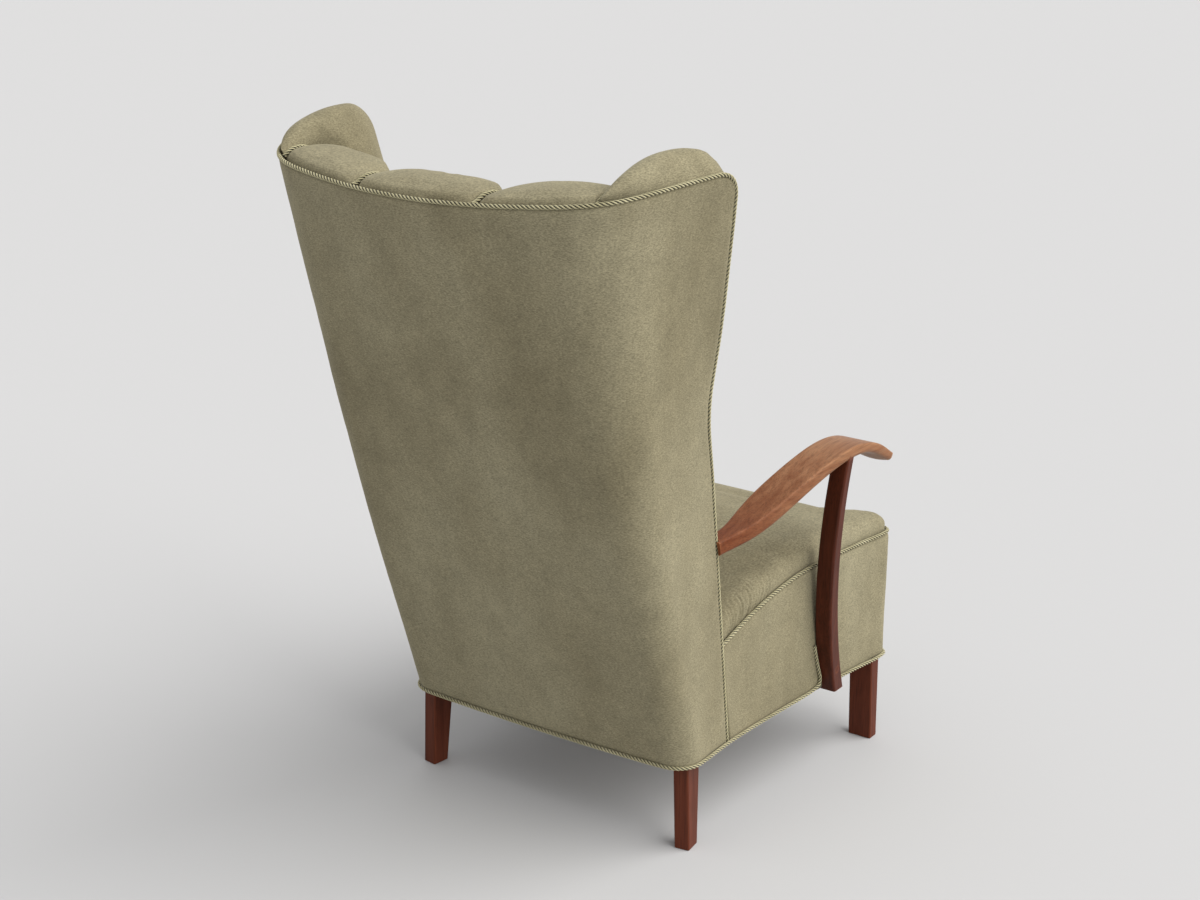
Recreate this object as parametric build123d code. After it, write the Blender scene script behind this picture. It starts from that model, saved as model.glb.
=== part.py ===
"""High back armchair: hardwood frame, sprung seat, channelled wing back and twisted cord trim.

Millimetres, +Z up, the sitter's left at +X, the rear at +Y and the floor at Z = 0. Heights and
widths are true from the start; Y is counted from the rear feet and the finished pieces are then
centred on the chair's own box.
"""
import math
import os

from build123d import *

# Back shell, the wrapped outer surface of the back and its sides
BASE_Z = 151.5
BACK_RISE = 958.5
LEAN = 0.331
BASE_REAR_Y = 32.0
CORNER_X = 272.5
CORNER_SPREAD = 12.0
CORNER_FLARE = 14.5
BASE_BOW = 19.0
TOP_BOW = 51.0
BASE_CORNER_RADIUS = 44.0
TOP_CORNER_GROWTH = 86.0
EDGE_X = 281.0
EDGE_SPREAD = 22.0
WING_FLARE = 68.0
WING_START = 0.45
EDGE_Y = -112.0
EDGE_RUN = 162.0
WAIST_SCOOP = 21.0
WAIST_LEVEL = 0.64
WAIST_REACH = 0.10
TOP_Z = 1104.0
TOP_RISE = 16.0
TOP_BEND_X = 288.0
TIP_X = 380.0
TIP_LIFT = 27.0
TIP_ROUND = 44.0
TIP_BEND = 2.0

# Layers of the back, each measured inwards from the shell
COVER = 4.0
FRAME_DEPTH = 27.0
STRAP = 2.0
CLOTH = 1.6
LAYER_GAP = 0.4
SOFT_GAP = 0.3
FRAME_TRIM = 11.0
FRAME_DROP = 18.0

# Back frame
UPRIGHT_X = 225.0
SPLIT_BACK = 70.0
WING_BOARD_Z = 430.0
CREST_RAIL_HEIGHT = 70.0
MIDDLE_RAIL_Z = 690.0
LOWER_RAIL_Z = 372.0
BACK_RAIL_HEIGHT = 55.0
BACK_STRAP_X = 135.0
CROSS_STRAPS = 4
BAND_STEP = 45.0
JOINT_GAP = 0.2

# Inside back channels and wings
PAD_BOTTOM_Z = 345.0
SEAM_INNER_LOW = 88.0
SEAM_INNER_TOP = 110.0
SEAM_OUTER_LOW = 200.0
SEAM_OUTER_TOP = 288.0
PAD_FRONT_Y = -84.0
PAD_TOP_DEPTH = 104.0
PAD_TOP_DROP = 34.0
SEAM_RISE = 9.0
CROWN_TOP = 27.0
CROWN_LOW = 8.0
LUMBAR = 9.0
WING_BULGE = 45.0
# Inward direction, depths and crown share where the wing turns the corner
WING_CORNER = ((-0.18, -0.98, 0.0), 150.0, 92.0, 0.85)
# Back of the front edge at the pad's foot and at its top, inward direction, depths and crown share
WING_STATIONS = (
    (62.0, 96.0, (-0.37, -0.93, 0.0), 84.0, 78.0, 0.6),
    (28.0, 50.0, (-0.43, -0.90, 0.0), 50.0, 66.0, 0.4),
    (7.0, 16.0, (-0.49, -0.87, 0.0), 28.0, 52.0, 0.2),
    (-7.0, -4.0, (-0.78, -0.62, 0.0), 10.0, 28.0, 0.0),
)

# Seat border, pad and cord line
FRONT_HALF = 326.0
FRONT_CORNER_Y = -588.0
FRONT_BOW = 8.0
SIDE_HOLLOW = 6.0
CORNER_ROUND = 28.0
BORDER = 6.0
SEAT_CORD_Z = 391.0
SEAT_CORD_DROP = 58.0
SEAT_CORD_BEND_Y = -345.0
SEAT_CORD_REAR_Y = -83.0
SEAT_CROWN = 43.0
SEAT_NOSE = 58.0
NOSE_NARROW = 34.0
SEAT_SHOULDER = 21.0
SEAT_CORE_FRONT_Z = 331.0
SEAT_CORE_REAR_Z = 273.0
SEAT_REAR_Y = -98.0
SEAT_REAR_SLOPE = 0.42
CORE_LAP = 14.0

# Seat frame and suspension
RAIL_Z = 155.0
RAIL_HEIGHT = 88.0
RAIL = 26.0
FRONT_POST = 42.0
BLOCK = 46.0
BLOCK_HEIGHT = 50.0
WEB_WIDTH = 50.0
WEB = 1.6
DUST_CLOTH = 1.2
SPRING_WIRE = 3.6
SPRING_RADIUS = 38.0
SPRING_TURNS = 4
SPRING_ROWS_Y = (-205.0, -335.0, -465.0)
SPRING_SPACING = 165.0

# Legs
LEG_WIDE = 45.0
LEG_NARROW = 27.0
LEG_FOOT = 33.0
FRONT_FOOT = 24.0
LEG_ROUND = 3.0
REAR_LEG_OUT = 6.5
REAR_LEG_BACK = 30.0
REAR_LEG_TURN = 8.0
FRONT_LEG_IN = 4.0
FRONT_LEG_BACK = 55.0
LEG_SPLAY = 5.0

# Arms and posts: Y and Z of the arm's middle line, how far out it is between the back's edge and the
# post's head, then its width and thickness there
ARM_STATIONS = (
    (-48.0, 515.0, 0.03, 33.0, 29.0),
    (-141.0, 537.0, 0.43, 53.0, 31.0),
    (-222.0, 566.5, 0.67, 64.0, 29.0),
    (-300.0, 588.5, 0.85, 66.0, 26.0),
    (-371.0, 597.0, 0.93, 68.0, 23.0),
    (-430.0, 590.5, 0.98, 68.0, 21.0),
    (-478.0, 570.0, 1.0, 66.0, 20.0),
    (-508.0, 553.0, 1.0, 63.0, 18.0),
)
ARM_REAR_INSET = 4.0
ARM_FRONT_INSET = 30.0
ARM_EDGE = 8.0
ARM_SWELL = 2.5
POST_WIDE = 31.5
POST_FOOT = 31.0
POST_HEAD = 20.0
POST_FOOT_Z = 146.0
POST_HEAD_Z = 588.0
POST_STAND = 22.25
POST_LEAN = 28.0
POST_FOOT_Y = -393.0
POST_BOW_Y = -341.0
POST_HEAD_Y = -354.0
POST_ROUND = 4.0
NOTCH_Z = 240.0
NOTCH_TURN = 14.0

# Fasteners and trim
DOWEL = 10.0
DOWEL_LENGTH = 50.0
HEAD_DOWEL_LENGTH = 30.0
HEAD_DOWEL_DROP = 8.0
HOLE_END = 0.5
DOWEL_GAP = 0.15
SCREW = 6.0
SCREW_LENGTH = 42.0
PLUG = 12.0
PLUG_DEPTH = 7.0
PLUG_Z = 190.0
CORD = 6.5
CORD_GAP = 0.3
CORD_EASE = 0.9
EDGE_STRAIGHT = 0.42
EDGE_POINTS = 12
CORNER_POINTS = 5

LEVELS = [step / 10 for step in range(12)]
CORD_R = CORD / 2
TOP_LEVEL_Z = BASE_Z + LEVELS[-1] * BACK_RISE
FRAME_IN = COVER + SOFT_GAP
FRAME_OUT = FRAME_IN + FRAME_DEPTH
UPRIGHT_STRAP_OUT = FRAME_OUT + LAYER_GAP + STRAP
CROSS_STRAP_OUT = UPRIGHT_STRAP_OUT + LAYER_GAP + STRAP
CLOTH_OUT = CROSS_STRAP_OUT + LAYER_GAP + CLOTH
ZONE = CLOTH_OUT + SOFT_GAP
CORD_CLEAR = CORD_R + CORD_GAP + CORD_EASE
PAD_SKIN = COVER / 2 + CORD_CLEAR
REAR_LEG_X = CORNER_X + REAR_LEG_OUT
REAR_LEG_Y = BASE_REAR_Y - REAR_LEG_BACK
FRONT_LEG_X = FRONT_HALF - FRONT_LEG_IN
FRONT_LEG_Y = FRONT_CORNER_Y + FRONT_LEG_BACK


def unit(x, y):
    length = math.hypot(x, y)
    return (x / length, y / length)


# Shell formulas

def level(z):
    return (z - BASE_Z) / BACK_RISE


def centre_y(z):
    return BASE_REAR_Y + LEAN * (z - BASE_Z)


def edge_point(z):
    u = level(z)
    flare = max(0.0, (u - WING_START) / (1.0 - WING_START)) ** 1.5
    scoop = math.exp(-((u - WAIST_LEVEL) / WAIST_REACH) ** 2)
    return (
        EDGE_X + EDGE_SPREAD * u + WING_FLARE * flare,
        EDGE_Y + EDGE_RUN * u + WAIST_SCOOP * scoop,
    )


class ShellSection:
    """The plan curve of the back at one height: side line, corner arc and rear arc of each half."""

    def __init__(self, z):
        u = level(z)
        self.z = z
        self.radius = BASE_CORNER_RADIUS + TOP_CORNER_GROWTH * u * u
        corner_x = CORNER_X + CORNER_SPREAD * u + CORNER_FLARE * u ** 6
        corner_y = centre_y(z) - BASE_BOW - TOP_BOW * u ** 3
        half = self.radius * math.sqrt(0.5)
        self.ox = corner_x - half
        self.oy = corner_y - half
        drop = self.oy - centre_y(z)
        self.rear_radius = (self.radius ** 2 - self.ox ** 2 - drop ** 2) / (2 * (drop + self.radius))
        self.edge = edge_point(z)
        reach = (self.edge[0] - self.ox, self.edge[1] - self.oy)
        angle = math.atan2(reach[1], reach[0]) + math.acos(self.radius / math.hypot(*reach))
        self.side = (math.cos(angle), math.sin(angle))
        self.rear = unit(self.ox, self.oy - centre_y(z) + self.rear_radius)
        self.turn = unit(self.side[0] + self.rear[0], self.side[1] + self.rear[1])

    def side_point(self, trim, inset):
        """A point on the side line, trim behind the edge and inset inside the shell."""
        run = (-self.side[1], self.side[0])
        return (
            self.edge[0] + trim * run[0] - inset * self.side[0],
            self.edge[1] + trim * run[1] - inset * self.side[1],
        )

    def corner_point(self, direction, inset):
        r = self.radius - inset
        return (self.ox + r * direction[0], self.oy + r * direction[1])

    def between(self, share):
        """Direction from the corner's middle, a share of the way from the side line to the rear arc."""
        start = math.atan2(self.side[1], self.side[0])
        angle = start + share * (math.atan2(self.rear[1], self.rear[0]) - start)
        return (math.cos(angle), math.sin(angle))

    def rear_y(self, x):
        """Y of the shell at a given X, on the rear arc or the corner arc."""
        rear_end = self.corner_point(self.rear, 0.0)[0]
        if abs(x) <= rear_end:
            middle = centre_y(self.z) - self.rear_radius
            return middle + math.sqrt(self.rear_radius ** 2 - x * x)
        return self.oy + math.sqrt(max(0.0, self.radius ** 2 - (abs(x) - self.ox) ** 2))

    def wire(self, inset, trim, bulge=0.0):
        """Closed plan: the half curves on both sides and a front that may bulge between the edges."""
        def at(point, sign):
            return (sign * point[0], point[1], self.z)

        front = self.side_point(trim, inset)
        start = self.corner_point(self.side, inset)
        middle = self.corner_point(self.turn, inset)
        end = self.corner_point(self.rear, inset)
        back = (0.0, centre_y(self.z) - inset)
        nose = (front[0] - bulge, front[1] - bulge)
        corners = [at(front, -1), at(nose, -1), at(nose, 1), at(front, 1)]
        if bulge == 0.0:
            corners = [corners[0], corners[-1]]
        front_edges = [Line(*pair).edge() for pair in zip(corners, corners[1:])]
        return Wire([
            Line(at(front, 1), at(start, 1)).edge(),
            ThreePointArc(at(start, 1), at(middle, 1), at(end, 1)).edge(),
            ThreePointArc(at(end, 1), at(back, 1), at(end, -1)).edge(),
            ThreePointArc(at(end, -1), at(middle, -1), at(start, -1)).edge(),
            Line(at(start, -1), at(front, -1)).edge(),
            *front_edges,
        ])


def shell_block(inset, trim, bulge=0.0):
    """Everything inside the shell, closed by a front that is flat or bulges between the edges."""
    heights = [BASE_Z + u * BACK_RISE for u in LEVELS]
    return Solid.make_loft([ShellSection(z).wire(inset, trim, bulge) for z in heights])


def top_z(x):
    """Height of the top edge: a shallow arc between the outer seams, rising to the wing tips."""
    x = abs(x)
    if x <= TOP_BEND_X:
        return TOP_Z + TOP_RISE * (x / TOP_BEND_X) ** 2
    run = x - TOP_BEND_X
    span = TIP_X - TOP_BEND_X
    slope = 2 * TOP_RISE / TOP_BEND_X
    return TOP_Z + TOP_RISE + slope * run + (TIP_LIFT - slope * span) * (run / span) ** 2


def above_top(drop):
    """Cutter for all that lies above the top edge lowered by drop."""
    far = TIP_X + 40.0

    def at(x):
        return (x, top_z(x) - drop)

    bend = TOP_BEND_X
    between = (bend + far) / 2
    ceiling = TOP_LEVEL_Z + 60.0
    outline = Wire([
        ThreePointArc(at(-far), at(-between), at(-bend)).edge(),
        ThreePointArc(at(-bend), at(0.0), at(bend)).edge(),
        ThreePointArc(at(bend), at(between), at(far)).edge(),
        Polyline(at(far), (far, ceiling), (-far, ceiling), at(-far)).edges()[0],
        Polyline(at(far), (far, ceiling), (-far, ceiling), at(-far)).edges()[1],
        Polyline(at(far), (far, ceiling), (-far, ceiling), at(-far)).edges()[2],
    ])
    return extrude(Plane.XZ * Face(outline), amount=900.0, both=True)


def tip_point(inset):
    """Front top corner of a wing, where its front edge would meet the top edge."""
    z = TOP_Z + TOP_RISE
    for _ in range(4):
        z = top_z(edge_point(z)[0])
    return ShellSection(z).side_point(0.0, inset) + (z,)


def wing_corner_cut():
    """Cutter that rounds the front top corner of both wings, seen from the side."""
    _, y, z = tip_point(0.0)
    middle = (y + TIP_ROUND, z - TIP_ROUND)
    square = block(-900.0, 900.0, y - TIP_ROUND, middle[0], middle[1], z + TIP_ROUND)
    return square - pin((0.0, *middle), (1, 0, 0), 2 * TIP_ROUND, 2000.0)


def shell_wall(inner_inset, outer_inset, trim, drop):
    """A wall that follows the shell between two insets, open at the front, cut at the top."""
    open_front = -60.0
    wall = shell_block(outer_inset, trim) - shell_block(inner_inset, open_front)
    return wall - above_top(drop)


def outside_back():
    return shell_wall(COVER, 0.0, CORD_CLEAR, 0.0) - wing_corner_cut()


def block(x0, x1, y0, y1, z0, z1):
    return Pos((x0 + x1) / 2, (y0 + y1) / 2, (z0 + z1) / 2) * Box(x1 - x0, y1 - y0, z1 - z0)


def raised(face, height):
    return extrude(face, amount=height, dir=(0, 0, 1))


def lean_block(x0, x1, back, depth, z0, z1):
    """A block between two planes that lean with the back, from back to back + depth ahead of it."""
    points = [
        (centre_y(z0) - back, z0),
        (centre_y(z1) - back, z1),
        (centre_y(z1) - back - depth, z1),
        (centre_y(z0) - back - depth, z0),
    ]
    face = Face(Wire.make_polygon([(x0, y, z) for y, z in points], close=True))
    return extrude(face, amount=x1 - x0, dir=(1, 0, 0))


def cross_block(side_view):
    """A block right across the chair from a side view of Y and Z."""
    face = Face(Wire.make_polygon([(0.0, y, z) for y, z in side_view], close=True))
    return extrude(face, amount=FRONT_HALF + 60.0, both=True, dir=(1, 0, 0))


def other_side(piece):
    return mirror(piece, about=Plane.YZ)


def smooth_route(points):
    """Straight runs joined by tangent arcs that take up most of each run."""
    vectors = [Vector(*p) for p in points]
    radii = []
    for before, here, after in zip(vectors, vectors[1:], vectors[2:]):
        run_in = here - before
        run_out = after - here
        half_turn = math.radians(run_in.get_angle(run_out)) / 2
        radii.append(0.46 * min(run_in.length, run_out.length) / math.tan(half_turn))
    return FilletPolyline(*points, radius=radii)


def tube(route, radius):
    start = Plane(origin=route @ 0, z_dir=route % 0)
    return sweep(start * Circle(radius), path=route)


def mirrored_route(points):
    """Points from the right half, last one on the middle plane, completed on the left."""
    return list(points) + [(-x, y, z) for x, y, z in reversed(points[:-1])]


# Back frame, cut from one wall so that its pieces meet

def back_frame():
    wall = shell_wall(FRAME_OUT, FRAME_IN, FRAME_TRIM, FRAME_DROP + LAYER_GAP)
    top = TOP_LEVEL_Z + 20.0
    far = TIP_X + 60.0
    rear_reach = 400.0
    edge = UPRIGHT_X + JOINT_GAP

    def rear_band(z0, z1):
        return wall & block(-UPRIGHT_X, UPRIGHT_X, -600.0, 600.0, z0, z1)

    crest_low = TOP_Z - FRAME_DROP - CREST_RAIL_HEIGHT
    upright = wall & lean_block(edge, far, SPLIT_BACK - rear_reach, rear_reach, BASE_Z, top)
    board = wall & lean_block(edge, far, SPLIT_BACK + JOINT_GAP, rear_reach, WING_BOARD_Z, top)
    half = BACK_RAIL_HEIGHT / 2
    return {
        "crest_rail": rear_band(crest_low, top),
        "middle_back_rail": rear_band(MIDDLE_RAIL_Z - half, MIDDLE_RAIL_Z + half),
        "lower_back_rail": rear_band(LOWER_RAIL_Z - half, LOWER_RAIL_Z + half),
        "rear_rail": rear_band(RAIL_Z, RAIL_Z + RAIL_HEIGHT),
        "back_upright_left": upright,
        "wing_board_left": board,
    }


def band(x0, x1, near, far, heights):
    """A strip of the rear wall between two insets and two X values, lofted upwards."""
    outlines = []
    for z in heights:
        section = ShellSection(z)
        middle = centre_y(z) - section.rear_radius

        def at(x, inset):
            return (x, middle + math.sqrt((section.rear_radius - inset) ** 2 - x * x), z)

        places = spread(x0, x1, 2 + int((x1 - x0) / BAND_STEP))
        loop = [at(x, near) for x in places] + [at(x, far) for x in reversed(places)]
        outlines.append(Wire.make_polygon(loop, close=True))
    return Solid.make_loft(outlines, ruled=True)


def spread(low, high, count):
    return [low + (high - low) * step / (count - 1) for step in range(count)]


def back_webbing():
    """Upright straps on the rails and cross straps in front of them, tacked to the uprights."""
    low = LOWER_RAIL_Z
    high = TOP_Z - FRAME_DROP - CREST_RAIL_HEIGHT / 2
    half = WEB_WIDTH / 2
    near = FRAME_OUT + LAYER_GAP
    straps = []
    for x in (-BACK_STRAP_X, 0.0, BACK_STRAP_X):
        straps.append(band(x - half, x + half, near, UPRIGHT_STRAP_OUT, spread(low, high, 6)))
    near = UPRIGHT_STRAP_OUT + LAYER_GAP
    reach = UPRIGHT_X + FRAME_DEPTH / 2
    for index in range(CROSS_STRAPS):
        z = low + (high - low) * (index + 0.5) / CROSS_STRAPS
        straps.append(band(-reach, reach, near, CROSS_STRAP_OUT, spread(z - half, z + half, 3)))
    return Compound(straps)


def back_cloth():
    high = TOP_Z - FRAME_DROP - BACK_RAIL_HEIGHT / 2
    near = CROSS_STRAP_OUT + LAYER_GAP
    return band(-UPRIGHT_X, UPRIGHT_X, near, CLOTH_OUT, spread(LOWER_RAIL_Z, high, 16))


# Soft pieces of the back

def seam_x(low, top, z):
    """X of a seam, which lies in one plane from the pad's foot over its top."""
    return low + (top - low) * (z - PAD_BOTTOM_Z) / (top_z(top) - PAD_BOTTOM_Z)


def pad_outline(low, high, inward, depth_low, depth_top, crown_low, crown_top):
    """Lobe outline in the plane of its outer line and the inward direction."""
    low = Vector(*low)
    high = Vector(*high)
    inward = Vector(*inward).normalized()
    up = (high - low).normalized()
    front_low = low + inward * (depth_low + crown_low)
    front_high = high + inward * (depth_top + crown_top * 0.7) - up * (PAD_TOP_DROP - crown_top * 0.6)
    summit = high + inward * (depth_top * 0.45) + up * (SEAM_RISE + crown_top)
    belly = (front_low + front_high) / 2 + inward * (LUMBAR + (crown_low + crown_top) / 2 * 0.6)
    return Wire([
        Line(low, high).edge(),
        ThreePointArc(high, summit, front_high).edge(),
        ThreePointArc(front_high, belly, front_low).edge(),
        Line(front_low, low).edge(),
    ])


def rear_line(low_x, top_x):
    """Ends of a lobe's rear line, just inside the outside cover."""
    ends = []
    for x, z in ((low_x, PAD_BOTTOM_Z), (top_x, top_z(top_x))):
        ends.append((x, ShellSection(z).rear_y(x) - PAD_SKIN, z))
    return ends


def channel_outline(low_x, top_x, share):
    low, high = rear_line(low_x, top_x)
    depth_low = low[1] - PAD_FRONT_Y
    return pad_outline(low, high, (0, -1, 0), depth_low, PAD_TOP_DEPTH, CROWN_LOW * share, CROWN_TOP * share)


CROWN_STEPS = ((0.0, 0.0), (0.16, 0.72), (0.5, 1.0), (0.84, 0.72), (1.0, 0.0))


def channel(low_pair, top_pair):
    outlines = []
    for part, share in CROWN_STEPS:
        low_x = low_pair[0] + (low_pair[1] - low_pair[0]) * part
        top_x = top_pair[0] + (top_pair[1] - top_pair[0]) * part
        outlines.append(channel_outline(low_x, top_x, share))
    return Solid.make_loft(outlines)


def wing_lobe():
    """From the outer seam round the corner to the wing's front edge."""
    gap = CORD_R + CORD_GAP
    low_z = ShellSection(PAD_BOTTOM_Z)
    skin = COVER / 4
    outlines = [
        channel_outline(SEAM_OUTER_LOW + gap, SEAM_OUTER_TOP + gap, 0.0),
        channel_outline(SEAM_OUTER_LOW + 18.0, SEAM_OUTER_TOP + 13.0, 0.7),
    ]
    tip_z = tip_point(skin)[2]
    turn_z = (top_z(SEAM_OUTER_TOP) + tip_z) / 2
    bend = ShellSection(turn_z).corner_point(unit(0.9, 0.45), skin) + (turn_z,)
    turn = low_z.corner_point(low_z.turn, skin) + (PAD_BOTTOM_Z,)
    stations = [(turn, bend, *WING_CORNER)]
    tip = ShellSection(tip_z)
    for low_trim, top_trim, inward, depth_low, depth_top, share in WING_STATIONS:
        low = low_z.side_point(low_trim, skin) + (PAD_BOTTOM_Z,)
        high = tip.side_point(top_trim, skin) + (tip_z,)
        stations.append((low, high, inward, depth_low, depth_top, share))
    for low, high, inward, depth_low, depth_top, share in stations:
        crown = CROWN_TOP * share
        outlines.append(pad_outline(low, high, inward, depth_low, depth_top, CROWN_LOW * share, crown))
    return Solid.make_loft(outlines, ruled=True)


def back_pads(room):
    """Five pads on the frame, with room cut out for what sits in them."""
    zone = shell_wall(ZONE, FRAME_IN - SOFT_GAP, FRAME_TRIM - SOFT_GAP, FRAME_DROP)
    gap = CORD_R + CORD_GAP
    inner_low = (SEAM_INNER_LOW, SEAM_INNER_TOP)
    centre = channel((gap - inner_low[0], inner_low[0] - gap), (gap - inner_low[1], inner_low[1] - gap))
    side = channel(
        (SEAM_INNER_LOW + gap, SEAM_OUTER_LOW - gap),
        (SEAM_INNER_TOP + gap, SEAM_OUTER_TOP - gap),
    )
    inside = shell_block(PAD_SKIN, CORD_GAP, WING_BULGE)
    wing = drill(wing_lobe() & inside, [zone, seat_side_cut()] + room)
    side = drill(side - zone, room)
    return {
        "back_pad_centre": drill(centre - zone, room),
        "back_pad_left": side,
        "back_pad_right": other_side(side),
        "wing_pad_left": wing,
        "wing_pad_right": other_side(wing),
    }


# Cords

def edge_cord_points():
    """Right half of the cord round the outside back, from the base to the middle of the top."""
    tip = tip_point(COVER / 2)
    lift = CORD_CLEAR
    bend = TIP_BEND * TIP_ROUND
    points = []
    curved = spread(BASE_Z + EDGE_STRAIGHT * BACK_RISE, tip[2] - bend, EDGE_POINTS)
    for z in [BASE_Z + CORD_R] + curved:
        points.append(ShellSection(z).side_point(0.0, COVER / 2) + (z,))
    points.append((tip[0], tip[1], tip[2] + lift))
    section = ShellSection(tip[2])
    side = section.side_point(bend, COVER / 2)
    points.append(side + (top_z(side[0]) + lift,))
    for turn in spread(0.0, 1.0, CORNER_POINTS):
        x = section.corner_point(section.between(turn), COVER / 2)[0]
        section = ShellSection(top_z(x))
        points.append(section.corner_point(section.between(turn), 0.0) + (top_z(x) + lift,))
    for x in spread(points[-1][0] * 0.75, 0.0, 4):
        z = top_z(x)
        points.append((x, ShellSection(z).rear_y(x) - COVER / 2, z + lift))
    return [(-x, y, z) for x, y, z in points]


def back_edge_cord(radius):
    return tube(smooth_route(mirrored_route(edge_cord_points())), radius)


def seam_cord(low_x, top_x):
    """Cord in the valley between two channels, from the rear edge over the top and down inside."""
    low, high = rear_line(low_x, top_x)
    out = CORD_R + 1.2
    front_y = high[1] - PAD_TOP_DEPTH
    front_z = high[2] - PAD_TOP_DROP
    belly_y = (front_y + PAD_FRONT_Y) / 2 - LUMBAR
    middle_z = (front_z + PAD_BOTTOM_Z) / 2
    side_view = (
        (high[1] - CORD_R, high[2] + CORD_CLEAR),
        (high[1] - PAD_TOP_DEPTH * 0.45, high[2] + SEAM_RISE + out + 5.0),
        (front_y + 10.0, front_z + 24.0 + out),
        (front_y - out - 2.0, front_z - 16.0),
        (belly_y - out - 3.0, middle_z),
        (PAD_FRONT_Y - out + 8.0, PAD_BOTTOM_Z + 34.0),
    )
    points = [(seam_x(low_x, top_x, z), y, z) for y, z in side_view]
    return tube(smooth_route(points), CORD_R)


def back_seam_cords():
    cords = []
    for low_x, top_x in ((SEAM_INNER_LOW, SEAM_INNER_TOP), (SEAM_OUTER_LOW, SEAM_OUTER_TOP)):
        cord = seam_cord(low_x, top_x)
        cords += [cord.solid(), other_side(cord).solid()]
    return Compound(cords)


# Seat outline, border and pad

def seat_cord_z(y):
    part = max(0.0, (y - SEAT_CORD_BEND_Y) / (SEAT_CORD_REAR_Y - SEAT_CORD_BEND_Y))
    return SEAT_CORD_Z - SEAT_CORD_DROP * part ** 1.6


def border_x(y):
    """Half width of the border's outer face, a shallow hollow between the back and the front."""
    part = min(1.0, max(0.0, (EDGE_Y - y) / (EDGE_Y - FRONT_CORNER_Y)))
    return EDGE_X + (FRONT_HALF - EDGE_X) * part - 4 * SIDE_HOLLOW * part * (1 - part)


def seat_outline(inset, rear_y):
    """Plan of the seat, straight beside the back, hollow along the sides, bowed at the front."""
    middle_y = (EDGE_Y + FRONT_CORNER_Y) / 2
    half = EDGE_X - inset
    front = FRONT_HALF - inset
    front_y = FRONT_CORNER_Y + inset
    middle = border_x(middle_y) - inset
    edges = [
        Line((half, rear_y), (half, EDGE_Y)).edge(),
        ThreePointArc((half, EDGE_Y), (middle, middle_y), (front, front_y)).edge(),
        ThreePointArc((front, front_y), (0.0, front_y - FRONT_BOW), (-front, front_y)).edge(),
        ThreePointArc((-front, front_y), (-middle, middle_y), (-half, EDGE_Y)).edge(),
        Line((-half, EDGE_Y), (-half, rear_y)).edge(),
        Line((-half, rear_y), (half, rear_y)).edge(),
    ]
    face = Face(Wire(edges))
    corners = [v for v in face.vertices() if abs(v.Y - front_y) < 0.01]
    return fillet(corners, CORNER_ROUND - min(inset, CORNER_ROUND / 2))


def cord_profile(drop, low_z):
    """Side view of all that lies under the seat cord's line lowered by drop."""
    rear_y = 60.0
    front_y = FRONT_CORNER_Y - 60.0
    line = [(y, seat_cord_z(y) - drop) for y in spread(rear_y, SEAT_CORD_BEND_Y, 12)]
    line += [(front_y, SEAT_CORD_Z - drop), (front_y, low_z), (rear_y, low_z)]
    return cross_block(line)


def seat_border(posts, post_feet):
    """One cloth wall round the sides and front, from the base up to the seat cord."""
    rear_y = -20.0
    ring = seat_outline(0.0, rear_y) - seat_outline(BORDER, rear_y + 10.0)
    wall = Pos(0, 0, BASE_Z) * raised(ring, SEAT_CORD_Z)
    wall = wall & cord_profile(CORD_CLEAR, BASE_Z)
    wall = wall - shell_block(-20.0, -CORD_R - CORD_GAP)
    for cutter in posts + post_feet:
        wall = wall - cutter
    return wall


def seat_stations():
    """Y, narrowing and rise of each cross section: even to the front, then a round nose."""
    nose_y = FRONT_CORNER_Y + SEAT_NOSE
    stations = [(y, 0.0, 1.0) for y in spread(-40.0, nose_y, 9)]
    steps = 7
    for index in range(1, steps + 1):
        angle = math.radians(84.0) * index / steps
        y = nose_y - (SEAT_NOSE + FRONT_BOW) * math.sin(angle)
        stations.append((y, NOSE_NARROW * (1 - math.cos(angle)), math.cos(angle)))
    return stations


def seat_section(y, narrow, rise):
    """Cross section of the seat pad above its cord: drawn-in foot, round shoulders, crowned top."""
    half = border_x(y) - narrow
    foot_z = seat_cord_z(y) + CORD_CLEAR
    foot = half - CORD - 3.0
    shoulder_z = foot_z + SEAT_SHOULDER * rise
    top = foot_z + SEAT_CROWN * rise
    edge = half - 44.0
    edge_z = foot_z + (SEAT_CROWN - 7.0) * rise

    def at(x, z):
        return (x, y, z)

    bulge = (half - 2.5, foot_z + SEAT_SHOULDER * rise * 0.45)
    bend = (half - 13.0, shoulder_z + (edge_z - shoulder_z) * 0.68)
    return Wire([
        Line(at(-foot, foot_z), at(foot, foot_z)).edge(),
        ThreePointArc(at(foot, foot_z), at(*bulge), at(half, shoulder_z)).edge(),
        ThreePointArc(at(half, shoulder_z), at(*bend), at(edge, edge_z)).edge(),
        ThreePointArc(at(edge, edge_z), at(0.0, top), at(-edge, edge_z)).edge(),
        ThreePointArc(at(-edge, edge_z), at(-bend[0], bend[1]), at(-half, shoulder_z)).edge(),
        ThreePointArc(at(-half, shoulder_z), at(-bulge[0], bulge[1]), at(-foot, foot_z)).edge(),
    ])


def core_bottom_z(y):
    part = (y - FRONT_CORNER_Y) / (SEAT_REAR_Y - FRONT_CORNER_Y)
    return SEAT_CORE_FRONT_Z + (SEAT_CORE_REAR_Z - SEAT_CORE_FRONT_Z) * part


def slab_under(offset, thickness):
    """A sloping slab whose top lies offset under the stuffing's lower face."""
    ends = [(y, core_bottom_z(y) - offset) for y in (FRONT_CORNER_Y - 40.0, 40.0)]
    return cross_block(ends + [(y, z - thickness) for y, z in reversed(ends)])


def seat_rear_y(z):
    """Plane where the seat pad meets the inside back."""
    return SEAT_REAR_Y + SEAT_REAR_SLOPE * (z - PAD_BOTTOM_Z) - LUMBAR


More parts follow.
